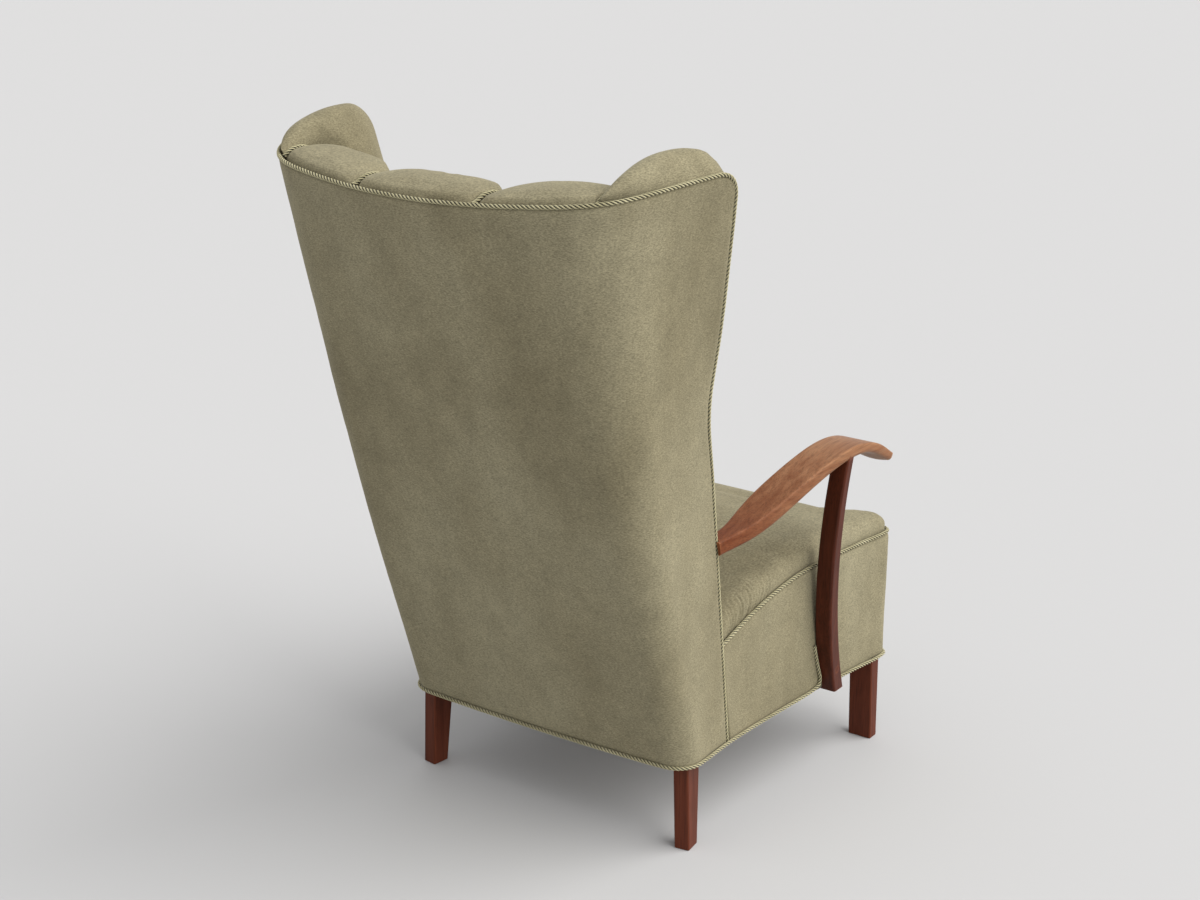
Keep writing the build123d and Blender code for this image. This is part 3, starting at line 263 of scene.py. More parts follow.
# %% [markdown]
# The show wood is stained hardwood. Legs and posts are a dark red brown. The arms are the same wood
# rubbed lighter by hands, most of all along their edges, where the stain has gone, and less towards
# the rear, where they are red again. The light edges of arms, posts and legs are partly that wear and
# partly a painted highlight. Grain is noise drawn out along the piece. The light edge is found by
# comparing the true surface direction with one rounded over a few millimetres: they only differ near
# an edge.

# %% Show wood
STAIN_FRONT = -0.20
STAIN_REAR = 0.06
EDGE_WIDTH = 0.006
FIGURE_STRETCH = 0.035
PORE_STRETCH = 0.03
PORE_DEPTH = 0.0004
X_GRAIN = 0
Y_GRAIN = 1
Z_GRAIN = 2


def drawn_out(along, stretch):
    """A stretch along one axis only."""
    return [stretch if axis == along else 1.0 for axis in range(3)]


def rubbed_and_highlit_edges(tree, wear_and_highlight):
    """Colour output that is lighter near the edges, in patches: wear and a painted highlight."""
    rounded = add(tree, "ShaderNodeBevel", samples=6)
    set_values(rounded, {"Radius": EDGE_WIDTH})
    true_face = add(tree, "ShaderNodeNewGeometry")
    alike = add(tree, "ShaderNodeVectorMath", operation="DOT_PRODUCT")
    tree.links.new(rounded.outputs["Normal"], alike.inputs[0])
    tree.links.new(true_face.outputs["Normal"], alike.inputs[1])
    edge = ramp(tree, alike.outputs["Value"], ((0.80, grey(wear_and_highlight)), (0.995, grey(0.0))))
    patchy = object_noise(tree, (1.0, 1.0, 1.0), 42.0, 4.0, 0.65)
    patchy = ramp(tree, patchy, ((0.30, grey(0.25)), (0.62, grey(1.0))))
    return mix(tree, "MULTIPLY", 1.0, edge, patchy)


def rear_stain(tree, tint):
    """Colour output that goes from white at the front to a tint at the rear."""
    split = add(tree, "ShaderNodeSeparateXYZ")
    tree.links.new(add(tree, "ShaderNodeTexCoord").outputs["Object"], split.inputs["Vector"])
    rearward = add(tree, "ShaderNodeMapRange")
    set_values(rearward, {"From Min": STAIN_FRONT, "From Max": STAIN_REAR})
    tree.links.new(split.outputs["Y"], rearward.inputs["Value"])
    return ramp(tree, rearward.outputs["Result"], ((0.0, grey(1.0)), (1.0, tint)))


def wood_material(name, dark, light, along, roughness, worn=None, wear_and_highlight=0.0, rear_tint=None):
    """Wood with its grain along an axis, worn and given a painted highlight at its edges and stained at its
    rear where asked.
    """
    material, tree, shader = node_material(name)
    figure = object_noise(tree, drawn_out(along, FIGURE_STRETCH), 95.0, 6.0, 0.6)
    colour = ramp(tree, figure, ((0.32, dark), (0.66, light)))
    pores = object_noise(tree, drawn_out(along, PORE_STRETCH), 620.0, 2.0, 0.5)
    pore_shade = ramp(tree, pores, ((0.36, grey(0.45)), (0.52, grey(1.0))))
    colour = mix(tree, "MULTIPLY", 0.55, colour, pore_shade)
    # The edge colour is partly wear and partly a painted highlight.
    if worn:
        colour = mix(tree, "MIX", rubbed_and_highlit_edges(tree, wear_and_highlight), colour, worn)
    if rear_tint:
        colour = mix(tree, "MULTIPLY", 1.0, colour, rear_stain(tree, rear_tint))
    tree.links.new(colour, shader.inputs["Base Color"])
    set_values(shader, {"Roughness": roughness, "Specular IOR Level": 0.14})
    bump(tree, shader, pores, 0.12, PORE_DEPTH)
    return material


FRAME_DARK = (0.36, 0.22, 0.11)
FRAME_LIGHT = (0.52, 0.36, 0.20)
FRAME_ROUGHNESS = 0.75
arm_wood = wood_material(
    "rubbed_and_highlit_arm_wood", (0.205, 0.080, 0.032), (0.320, 0.160, 0.078), Y_GRAIN, 0.42,
    worn=(0.50, 0.30, 0.155), wear_and_highlight=0.9, rear_tint=(0.60, 0.38, 0.30),
)
post_wood = wood_material(
    "dark_post_wood", (0.050, 0.0105, 0.0042), (0.085, 0.0190, 0.0080), Z_GRAIN, 0.42,
    worn=(0.19, 0.060, 0.024), wear_and_highlight=0.5,
)
leg_wood = wood_material(
    "dark_leg_wood", (0.078, 0.0170, 0.0072), (0.118, 0.0290, 0.0130), Z_GRAIN, 0.45,
    worn=(0.20, 0.068, 0.028), wear_and_highlight=0.45,
)
frame_wood_upright = wood_material("plain_frame_wood", FRAME_DARK, FRAME_LIGHT, Z_GRAIN, FRAME_ROUGHNESS)
frame_wood_across = wood_material("plain_rail_wood", FRAME_DARK, FRAME_LIGHT, X_GRAIN, FRAME_ROUGHNESS)
frame_wood_along = wood_material("plain_side_rail_wood", FRAME_DARK, FRAME_LIGHT, Y_GRAIN, FRAME_ROUGHNESS)
print("arm, post, leg and frame woods")

# %% [markdown]
# Inside the chair there are jute straps, plain hessian and steel springs. They only show from below
# or through a gap, so their finishes are simple: crossed waves for a coarse weave, noise for steel.

# %% Linings, straps and steel
WEAVE_DEPTH = 0.0006


def woven_material(name, dark, light, threads):
    """Coarse cloth with crossed threads."""
    material, tree, shader = node_material(name)
    place = add(tree, "ShaderNodeTexCoord")
    waves = []
    for direction in ("X", "Y"):
        wave = add(tree, "ShaderNodeTexWave", wave_type="BANDS", bands_direction=direction)
        set_values(wave, {"Scale": threads, "Distortion": 1.2})
        tree.links.new(place.outputs["Object"], wave.inputs["Vector"])
        waves.append(wave.outputs["Color"])
    height = mix(tree, "MULTIPLY", 0.7, *waves)
    colour = ramp(tree, height, ((0.1, dark), (0.9, light)))
    tint = object_noise(tree, (1.0, 1.0, 1.0), 18.0, 3.0)
    tint_shade = ramp(tree, tint, ((0.3, grey(0.35)), (0.7, grey(0.65))))
    colour = mix(tree, "OVERLAY", 0.3, colour, tint_shade)
    tree.links.new(colour, shader.inputs["Base Color"])
    set_values(shader, {"Roughness": 0.95})
    bump(tree, shader, height, 0.3, WEAVE_DEPTH)
    return material


strap_cloth = woven_material("jute_strap", (0.24, 0.17, 0.09), (0.42, 0.32, 0.19), 210.0)
lining_cloth = woven_material("plain_lining", (0.15, 0.13, 0.10), (0.26, 0.23, 0.18), 420.0)
steel, steel_tree, steel_shader = node_material("spring_steel")
dull = object_noise(steel_tree, (1.0, 1.0, 1.0), 60.0, 4.0)
steel_colour = ramp(steel_tree, dull, ((0.35, (0.20, 0.19, 0.18)), (0.7, (0.42, 0.41, 0.40))))
steel_tree.links.new(steel_colour, steel_shader.inputs["Base Color"])
set_values(steel_shader, {"Metallic": 1.0, "Roughness": 0.45})


def coat(mesh, finish):
    """Gives a mesh one finish."""
    mesh.materials.clear()
    mesh.materials.append(finish)


FINISHES = {
    arm_wood: ("arm_left", "arm_right"),
    post_wood: ("arm_post_left", "arm_post_right", "post_plugs"),
    leg_wood: ("front_leg_left", "front_leg_right", "rear_leg_left", "rear_leg_right"),
    frame_wood_upright: (
        "back_upright_left", "back_upright_right", "wing_board_left", "wing_board_right",
        "front_post_left", "front_post_right", "corner_blocks", "leg_dowels", "arm_dowels",
    ),
    frame_wood_across: (
        "crest_rail", "middle_back_rail", "lower_back_rail", "front_rail", "rear_rail", "frame_dowels",
    ),
    frame_wood_along: ("side_rail_left", "side_rail_right"),
    strap_cloth: ("back_webbing", "seat_webbing"),
    lining_cloth: ("back_cloth", "spring_cloth", "dust_cloth"),
    steel: ("seat_springs", "post_screws"),
}
for finish, names in FINISHES.items():
    for name in names:
        coat(nodes[name].data, finish)
print("finishes on", sum(len(names) for names in FINISHES.values()), "CAD nodes")

# %% [markdown]
# The outer surface of the back is a formula, the same one that shapes the solids. At each height the
# plan is a straight side, a round corner and a wide arc across the rear. The front edge flares out
# into the wing, with a small hollow at the waist above the arm, and the top edge is a shallow arc
# that rises to the wing tips.

# %% Shell formulas
BASE_Z = 151.5
BACK_RISE = 958.5
LEAN = 0.331
BASE_REAR_Y = 32.0
CORNER_X = 272.5
CORNER_SPREAD = 12.0
CORNER_FLARE = 14.5
BASE_BOW = 19.0
TOP_BOW = 51.0
BASE_CORNER_RADIUS = 44.0
TOP_CORNER_GROWTH = 86.0
EDGE_X = 281.0
EDGE_SPREAD = 22.0
WING_FLARE = 68.0
WING_START = 0.45
WING_CURVE = 1.5
EDGE_Y = -112.0
EDGE_RUN = 162.0
WAIST_SCOOP = 21.0
WAIST_LEVEL = 0.64
WAIST_REACH = 0.10
TOP_Z = 1104.0
TOP_RISE = 16.0
TOP_BEND_X = 288.0
TIP_X = 380.0
TIP_LIFT = 27.0
TIP_ROUND = 44.0
TIP_BEND = 2.0
COVER = 4.0
CORD_R = 3.25
CORD_GAP = 0.3
CORD_EASE = 0.9
CORD_CLEAR = CORD_R + CORD_GAP + CORD_EASE


def unit(x, y):
    length = math.hypot(x, y)
    return (x / length, y / length)


def level(z):
    return (z - BASE_Z) / BACK_RISE


def centre_y(z):
    return BASE_REAR_Y + LEAN * (z - BASE_Z)


def edge_point(z):
    """Plan point of the front edge at a height."""
    share = level(z)
    flare = max(0.0, (share - WING_START) / (1.0 - WING_START)) ** WING_CURVE
    scoop = math.exp(-((share - WAIST_LEVEL) / WAIST_REACH) ** 2)
    x = EDGE_X + EDGE_SPREAD * share + WING_FLARE * flare
    return (x, EDGE_Y + EDGE_RUN * share + WAIST_SCOOP * scoop)


class ShellSection:
    """The plan curve of the back at one height: side line, corner arc and rear arc of the left half."""

    def __init__(self, z):
        share = level(z)
        self.z = z
        self.radius = BASE_CORNER_RADIUS + TOP_CORNER_GROWTH * share * share
        half = self.radius * math.sqrt(0.5)
        self.turn_x = CORNER_X + CORNER_SPREAD * share + CORNER_FLARE * share ** 6 - half
        self.turn_y = centre_y(z) - BASE_BOW - TOP_BOW * share ** 3 - half
        drop = self.turn_y - centre_y(z)
        self.rear_radius = (self.radius ** 2 - self.turn_x ** 2 - drop ** 2) / (2 * (drop + self.radius))
        self.edge = edge_point(z)
        reach = (self.edge[0] - self.turn_x, self.edge[1] - self.turn_y)
        angle = math.atan2(reach[1], reach[0]) + math.acos(self.radius / math.hypot(*reach))
        self.side = (math.cos(angle), math.sin(angle))
        self.rear = unit(self.turn_x, drop + self.rear_radius)

    def side_point(self, trim, inset):
        """A point on the side line, trim behind the edge and inset inside the shell."""
        return (
            self.edge[0] - trim * self.side[1] - inset * self.side[0],
            self.edge[1] + trim * self.side[0] - inset * self.side[1],
        )

    def side_length(self):
        start = self.corner_point(self.side, 0.0)
        return math.hypot(start[0] - self.edge[0], start[1] - self.edge[1])

    def corner_point(self, direction, inset):
        reach = self.radius - inset
        return (self.turn_x + reach * direction[0], self.turn_y + reach * direction[1])

    def between(self, share):
        """Direction from the corner's middle, a share of the way from the side line to the rear arc."""
        start = math.atan2(self.side[1], self.side[0])
        angle = start + share * (math.atan2(self.rear[1], self.rear[0]) - start)
        return (math.cos(angle), math.sin(angle))

    def rear_y(self, x):
        """Y of the shell at a given X, on the rear arc or the corner arc."""
        if abs(x) <= self.corner_point(self.rear, 0.0)[0]:
            return centre_y(self.z) - self.rear_radius + math.sqrt(self.rear_radius ** 2 - x * x)
        return self.turn_y + math.sqrt(max(0.0, self.radius ** 2 - (abs(x) - self.turn_x) ** 2))


def top_z(x):
    """Height of the top edge: a shallow arc between the outer seams, rising to the wing tips."""
    x = abs(x)
    if x <= TOP_BEND_X:
        return TOP_Z + TOP_RISE * (x / TOP_BEND_X) ** 2
    run = x - TOP_BEND_X
    span = TIP_X - TOP_BEND_X
    slope = 2 * TOP_RISE / TOP_BEND_X
    return TOP_Z + TOP_RISE + slope * run + (TIP_LIFT - slope * span) * (run / span) ** 2


def spread(low, high, count):
    """So many values at even steps from low to high."""
    return [low + (high - low) * step / (count - 1) for step in range(count)]


tip_z = TOP_Z + TOP_RISE
for _ in range(4):
    tip_z = top_z(edge_point(tip_z)[0])
print("wing tip at", [round(v, 1) for v in edge_point(tip_z)], round(tip_z, 1))

# %% [markdown]
# Cloth that is pulled tight over a frame is a thin sheet. It could be draped with the cloth solver, but
# here the frame gives its shape, so it is laid out as a grid of points and gets its thickness from
# Solidify.

# %% Sheets of cloth
def uneven(point, height, width):
    """Soft waves of a cloth at a point, so many millimetres high and about so wide."""
    return height * noise.noise(Vector(point) / width)


def sheet_mesh(name, rows):
    """A grid mesh from rows of points in drawing millimetres."""
    wide = len(rows[0])
    faces = []
    for row in range(len(rows) - 1):
        for column in range(wide - 1):
            first = row * wide + column
            faces.append((first, first + 1, first + wide + 1, first + wide))
    mesh = bpy.data.meshes.new(name)
    mesh.from_pydata([metres(*point) for row in rows for point in row], [], faces)
    return mesh


def evaluated_mesh(piece):
    """The piece's mesh with its modifiers applied."""
    depsgraph = bpy.context.evaluated_depsgraph_get()
    mesh = bpy.data.meshes.new_from_object(piece.evaluated_get(depsgraph))
    piece.modifiers.clear()
    return mesh


def thick_sheet(name, rows, thickness, finish, inside):
    """A closed sheet whose thickness goes from the grid's points towards the inside point."""
    piece = new_object(name, sheet_mesh(name, rows))
    middle_face = piece.data.polygons[len(piece.data.polygons) // 2]
    if middle_face.normal.dot(middle_face.center - inside) < 0.0:
        piece.data.flip_normals()
    skin = piece.modifiers.new("cloth_thickness", "SOLIDIFY")
    skin.thickness = thickness / 1000.0
    skin.offset = -1.0
    piece.data = evaluated_mesh(piece)
    piece.data.shade_smooth()
    coat(piece.data, finish)
    return piece


def run_length(points):
    """Length along points in millimetres, given in metres."""
    return sum(math.dist(first, second) for first, second in zip(points, points[1:])) / 1000.0


def pinch(distance, reach, depth):
    """How far a cloth dips beside a seam, at a distance from it."""
    share = max(0.0, 1.0 - distance / reach)
    return depth * share * share


print("sheets can be laid")

# %% [markdown]
# The outside cover is one sheet of cloth, tacked round the frame from wing to wing. It is made as a
# grid: columns run from one front edge round the back to the other, rows from the base to the top.
# Near its seams the cloth dips under the cord, and between them it is a little slack and uneven.

# %% Outside cover
SIDE_STEPS = 26
CORNER_STEPS = 22
REAR_STEPS = 40
COVER_ROWS = 150
SEAM_REACH = 11.0
SEAM_DIP = 2.2
EDGE_REACH = 12.0
EDGE_DIP = 5.0
EDGE_TUCK = -0.5
COVER_LIP = 2.0
COVER_BEHIND = 0.6
COVER_WAVE = (1.1, 120.0)
COVER_WAVE_UPRIGHT = 0.6
COVER_RIPPLE = (0.4, 34.0)
COVER_THICK = COVER - 1.5
FRONT_CLOSER = 1.6


def cover_place(column, z, inset):
    """Point of the cover: column 0 to 1 on the side, 1 to 2 round the corner, 2 to 3 across the rear."""
    section = ShellSection(z)
    if column <= 1.0:
        return section.side_point(EDGE_TUCK + (section.side_length() - EDGE_TUCK) * column, inset)
    if column <= 2.0:
        return section.corner_point(section.between(column - 1.0), inset)
    x = section.corner_point(section.rear, 0.0)[0] * (3.0 - column)
    return (x, section.rear_y(x) - inset)


def cover_top(column):
    """Height of the top edge over a column, rounded down at the wing's front corner."""
    z = TOP_Z + TOP_RISE
    for _ in range(6):
        z = top_z(cover_place(column, z, 0.0)[0])
    back = max(0.0, EDGE_TUCK + (ShellSection(z).side_length() - EDGE_TUCK) * column)
    if column < 1.0 and back < TIP_ROUND:
        z -= TIP_ROUND - math.sqrt(TIP_ROUND ** 2 - (TIP_ROUND - back) ** 2)
    return z


cover_columns = [(step / SIDE_STEPS) ** FRONT_CLOSER for step in range(SIDE_STEPS)]
cover_columns += [1.0 + step / CORNER_STEPS for step in range(CORNER_STEPS)]
cover_columns += [2.0 + step / REAR_STEPS for step in range(REAR_STEPS + 1)]
tops = [cover_top(column) + COVER_LIP for column in cover_columns]
cover_rows = []
for row in range(COVER_ROWS + 1):
    half_row = []
    for column, top in zip(cover_columns, tops):
        z = BASE_Z + (top - BASE_Z) * row / COVER_ROWS
        inset = pinch(top - z, SEAM_REACH, SEAM_DIP) + pinch(z - BASE_Z, SEAM_REACH, SEAM_DIP)
        inset = min(inset, SEAM_DIP)
        if column < 1.0:
            inset = max(inset, pinch(column * ShellSection(z).side_length(), EDGE_REACH, EDGE_DIP))
        half_row.append((column, z, inset))
    points = []
    for side in (1, -1):
        for column, z, inset in half_row if side > 0 else half_row[-2::-1]:
            x, y = cover_place(column, z, 0.0)
            slack = uneven((side * x, y, z * COVER_WAVE_UPRIGHT), *COVER_WAVE)
            slack += uneven((side * x, y, z), *COVER_RIPPLE)
            x, y = cover_place(column, z, inset + COVER_BEHIND - slack)
            points.append((side * x, y, z))
    cover_rows.append(points)
inside_back = Vector((0.0, 0.0, 0.5))
outside_cover = thick_sheet("outside_cover", cover_rows, COVER_THICK, velour, inside_back)
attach(outside_cover, "root")
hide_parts("outside_back")
print("outside cover", len(outside_cover.data.polygons), "faces")

# %% [markdown]
# The border is the strip of cloth under the seat, from the back round both sides and the front. It
# follows the seat's plan, is pulled in under the seat cord and over the base cord, and passes behind
# the arm posts.

# %% Seat border
FRONT_HALF = 326.0
FRONT_CORNER_Y = -588.0
FRONT_BOW = 8.0
SIDE_HOLLOW = 6.0
CORNER_ROUND = 28.0
BORDER = 6.0
SEAT_CORD_Z = 391.0
SEAT_CORD_DROP = 58.0
SEAT_CORD_BEND_Y = -345.0
SEAT_CORD_REAR_Y = -83.0
POST_FOOT_Z = 146.0
POST_HEAD_Z = 588.0
POST_FOOT_Y = -393.0
POST_BOW_Y = -341.0
POST_HEAD_Y = -354.0
POST_FOOT_X = 324.0
POST_HEAD_X = 352.0
POST_WIDE = 31.5
POST_DEEP = 31.0


def seat_cord_z(y):
    part = max(0.0, (y - SEAT_CORD_BEND_Y) / (SEAT_CORD_REAR_Y - SEAT_CORD_BEND_Y))
    return SEAT_CORD_Z - SEAT_CORD_DROP * part ** 1.6


def border_x(y):
    """Half width of the border's outer face, a shallow hollow between the back and the front."""
    part = min(1.0, max(0.0, (EDGE_Y - y) / (EDGE_Y - FRONT_CORNER_Y)))
    return EDGE_X + (FRONT_HALF - EDGE_X) * part - 4 * SIDE_HOLLOW * part * (1 - part)


def front_y(x):
    return FRONT_CORNER_Y - FRONT_BOW * (1 - (x / FRONT_HALF) ** 2)


def post_part(z):
    return (z - POST_FOOT_Z) / (POST_HEAD_Z - POST_FOOT_Z)


def post_rear_y(z):
    """Rear face of the arm post, bowed backwards at mid height."""
    part = post_part(z)
    straight = POST_FOOT_Y + (POST_HEAD_Y - POST_FOOT_Y) * part
    return straight + 4 * (POST_BOW_Y - (POST_FOOT_Y + POST_HEAD_Y) / 2) * part * (1 - part)


def post_inner_x(z):
    return POST_FOOT_X + (POST_HEAD_X - POST_FOOT_X) * post_part(z) - POST_WIDE


BORDER_SIDE_STEPS = 90
BORDER_CORNER_STEPS = 10
BORDER_FRONT_STEPS = 46
BORDER_ROWS = 40
BORDER_BEHIND = 0.5
BORDER_WAVE = (0.9, 90.0)
BORDER_RIPPLE = (0.35, 28.0)
BORDER_THICK = BORDER - 2.5
POST_EDGE = 3.0
POST_CLEAR = 1.0
FIRST_GUESS_Z = BASE_Z + 120.0


def border_place(step, z, inset):
    """Plan point of the border: along the side, round the front corner, then to the front's middle."""
    turn_y = FRONT_CORNER_Y + CORNER_ROUND
    turn_x = FRONT_HALF - CORNER_ROUND
    if step <= BORDER_SIDE_STEPS:
        rear = edge_point(z)[1] - CORD_R - CORD_GAP
        y = rear + (turn_y - rear) * step / BORDER_SIDE_STEPS
        x = border_x(y) - inset
        behind_post = post_rear_y(z) - POST_DEEP + POST_EDGE < y < post_rear_y(z) - POST_EDGE
        return (min(x, post_inner_x(z) - POST_CLEAR) if behind_post else x, y)
    step -= BORDER_SIDE_STEPS
    if step <= BORDER_CORNER_STEPS:
        turn = step / BORDER_CORNER_STEPS
        weights = ((1 - turn) ** 2, 2 * turn * (1 - turn), turn * turn)
        ends = ((border_x(turn_y), turn_y), (FRONT_HALF, FRONT_CORNER_Y), (turn_x, front_y(turn_x)))
        x, y = (sum(weight * end[axis] for weight, end in zip(weights, ends)) for axis in (0, 1))
        out = unit(1 - turn, -turn)
        return (x - inset * out[0], y - inset * out[1])
    x = turn_x * (1 - (step - BORDER_CORNER_STEPS) / BORDER_FRONT_STEPS)
    return (x, front_y(x) + inset)


border_steps = BORDER_SIDE_STEPS + BORDER_CORNER_STEPS + BORDER_FRONT_STEPS
border_rows = []
for row in range(BORDER_ROWS + 1):
    share = row / BORDER_ROWS
    points = []
    for side in (1, -1):
        for step in range(border_steps + 1) if side > 0 else range(border_steps - 1, -1, -1):
            z = FIRST_GUESS_Z
            for _ in range(3):
                top = seat_cord_z(border_place(step, z, 0.0)[1]) - CORD_CLEAR
                z = BASE_Z + (top - BASE_Z) * share
            x, y = border_place(step, z, 0.0)
            slack = uneven((side * x, y, z), *BORDER_WAVE) + uneven((side * x, y, z), *BORDER_RIPPLE)
            inset = pinch(top - z, SEAM_REACH, SEAM_DIP) + pinch(z - BASE_Z, SEAM_REACH, SEAM_DIP)
            x, y = border_place(step, z, min(inset, SEAM_DIP) + BORDER_BEHIND - slack)
            points.append((side * x, y, z))
    border_rows.append(points)
SEAT_FRAME = ("front_rail", "side_rail_left", "side_rail_right")
under_seat = metres(0.0, -330.0, 300.0)
border = thick_sheet("seat_border_cloth", border_rows, BORDER_THICK, velour, under_seat)
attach(border, "root")
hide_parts("seat_border")
print("seat border", len(border.data.polygons), "faces")

# %% [markdown]
# Pads are stuffed skins. Each starts as a fine net, drawn in by a millimetre or so, and is then blown
# up from inside like a cushion, with the cloth solver. It could also be sculpted, but the solver gives
# the tight, round look of stuffing by itself. The swelling is kept to a few millimetres, so that the
# pad stays in its place between the cords.

# %% Stuffing a skin
FRAMES = 20
PRESSURE = 4.0
AFTER_ROUNDS = 6
SMOOTH_IN = 0.5
SMOOTH_OUT = -0.52
SPLIT_CORNER = 0.00002


def drawn_in(piece, depth):
    """Moves every point inwards by a depth in millimetres."""
    moved = [vertex.co - vertex.normal * (depth / 1000.0) for vertex in piece.data.vertices]
    for vertex, place in zip(piece.data.vertices, moved):
        vertex.co = place


def even_net(piece, cell):
    """Replaces the skin by an even net of squares."""
    net = piece.modifiers.new("even_net", "REMESH")
    net.mode = "VOXEL"
    net.voxel_size = cell / 1000.0
    piece.data = evaluated_mesh(piece)


def reshaped(piece, shape):
    """Moves every point as a shape function says, in drawing millimetres."""
    moved = []
    for vertex in piece.data.vertices:
        moved.append(metres(*shape(drawing(vertex.co))))
    for vertex, place in zip(piece.data.vertices, moved):
        vertex.co = place


def smoothed(piece, rounds):
    """Smooths the skin; each pass inwards is followed by one outwards, so the pad keeps its size."""
    for _ in range(rounds):
        for factor in (SMOOTH_IN, SMOOTH_OUT):
            smooth = piece.modifiers.new("even_out", "SMOOTH")
            smooth.factor = factor
            smooth.iterations = 1
    piece.data = evaluated_mesh(piece)


def blown_up(piece, most):
    """Runs the cloth solver and takes over its shape, each point moved by so many millimetres at most."""
    rest = [vertex.co.copy() for vertex in piece.data.vertices]
    cloth = piece.modifiers.new("stuffing", "CLOTH")
    cloth.settings.quality = 4
    cloth.settings.use_pressure = True
    cloth.settings.uniform_pressure_force = PRESSURE
    cloth.settings.effector_weights.gravity = 0.0
    cloth.point_cache.frame_start = 1
    cloth.point_cache.frame_end = FRAMES
    for step in range(1, FRAMES + 1):
        bpy.context.scene.frame_set(step)
    blown = evaluated_mesh(piece)
    bpy.context.scene.frame_set(1)
    limit = most / 1000.0
    for vertex, start in zip(blown.vertices, rest):
        move = vertex.co - start
        if move.length > limit:
            vertex.co = start + move * (limit / move.length)
    piece.data = blown


def stuffed(piece, rounds, draw, most):
    """Smooths a skin, draws it in, blows it up by so many millimetres at most and dresses it."""
    smoothed(piece, rounds)
    drawn_in(piece, draw)
    blown_up(piece, most)
    smoothed(piece, AFTER_ROUNDS)
    piece.data.shade_smooth()
    coat(piece.data, velour)
    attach(piece, "root")
    return piece


def outward(mesh):
    """The mesh with all its faces looking out."""
    net = bmesh.new()
    net.from_mesh(mesh)
    bmesh.ops.recalc_face_normals(net, faces=net.faces)
    net.to_mesh(mesh)
    net.free()
    return mesh


def node_copy(name, node):
    """A piece with the mesh of a CAD node, its split corners joined."""
    net = bmesh.new()
    net.from_mesh(nodes[node].data)
    bmesh.ops.remove_doubles(net, verts=net.verts, dist=SPLIT_CORNER)
    bmesh.ops.recalc_face_normals(net, faces=net.faces)
    mesh = bpy.data.meshes.new(name)
    net.to_mesh(mesh)
    net.free()
    return new_object(name, mesh)


print("stuffing ready")

# %% [markdown]
# The inside back has three upright channels between two wings. The channels' shapes come from the
# solids. Where they roll over the top, the skins settle to a shallow crown.

# %% Inside back channels
PAD_CELL = 6.0
PAD_ROUNDS = 14
CROWN_FOOT = -6.0
SEAM_RISE = 9.0
SEAM_SETTLED = 16.0
CROWN_KEEP = 0.38


def share_of(value, low, high):
    return max(0.0, min(1.0, (value - low) / (high - low)))


def settled(place):
    """Flattens the crowns above the top edge's line and lifts their seams."""
    x, y, z = place
    rise = z - top_z(x)
    if rise <= CROWN_FOOT:
        return place
    if rise <= SEAM_RISE:
        rise = CROWN_FOOT + (rise - CROWN_FOOT) * (SEAM_SETTLED - CROWN_FOOT) / (SEAM_RISE - CROWN_FOOT)
    else:
        rise = SEAM_SETTLED + (rise - SEAM_RISE) * CROWN_KEEP
    return (x, y, top_z(x) + rise)


def skin_of(piece):
    """A search tree over a piece's skin."""
    net = bmesh.new()
    net.from_mesh(piece.data)
    tree = BVHTree.FromBMesh(net)
    net.free()
    return tree


pad_skins = []
for node, name in (
    ("back_pad_centre", "centre_channel"),
    ("back_pad_left", "left_channel"),
    ("back_pad_right", "right_channel"),
):
    pad = node_copy(name, node)
    even_net(pad, PAD_CELL)
    reshaped(pad, settled)
    stuffed(pad, PAD_ROUNDS, 1.0, 3.0)
    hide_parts(node)
    pad_skins.append(skin_of(pad))
    print(name, len(pad.data.polygons), "faces")

# %% [markdown]
# Each seam of the inside back lies in the valley beside a channel. It could be drawn by hand, but the
# channels have swollen, so it is found by looking at them from outside, first round the top and then
# from the front on the way down.

# %% Seams of the inside back
SEAM_PAIRS = ((88.0, 110.0), (200.0, 288.0))
PAD_BOTTOM_Z = 345.0
PAD_TOP_DEPTH = 104.0
SEAM_FOOT_Z = PAD_BOTTOM_Z + 34.0
SEAM_MIDDLE_DROP = 70.0
SEAM_FRONT_DROP = 40.0
SEAM_FIRST_LOOK = 62.0
SEAM_LOOKS = 12
SEAM_SLOPE = 0.28
SEAM_ASIDES = (5.0, 7.0, 9.0, 12.0)
LOOK = 400.0
OUTER_LEFT_SEAM = 2


def valley_point(x, middle, direction):
    """Where looks from outside first meet the channel beside a seam, brought into the seam's plane."""
    y, z = middle
    for aside in SEAM_ASIDES:
        start = metres(x - math.copysign(aside, x), y + LOOK * direction[0], z + LOOK * direction[1])
        looks = [skin.ray_cast(start, Vector((0.0, -direction[0], -direction[1])))[3] for skin in pad_skins]
        hits = [LOOK - hit * 1000.0 for hit in looks if hit is not None]
        if hits and max(hits) > 0.0:
            break
    reach = max(hits)
    return (y + reach * direction[0], z + reach * direction[1])


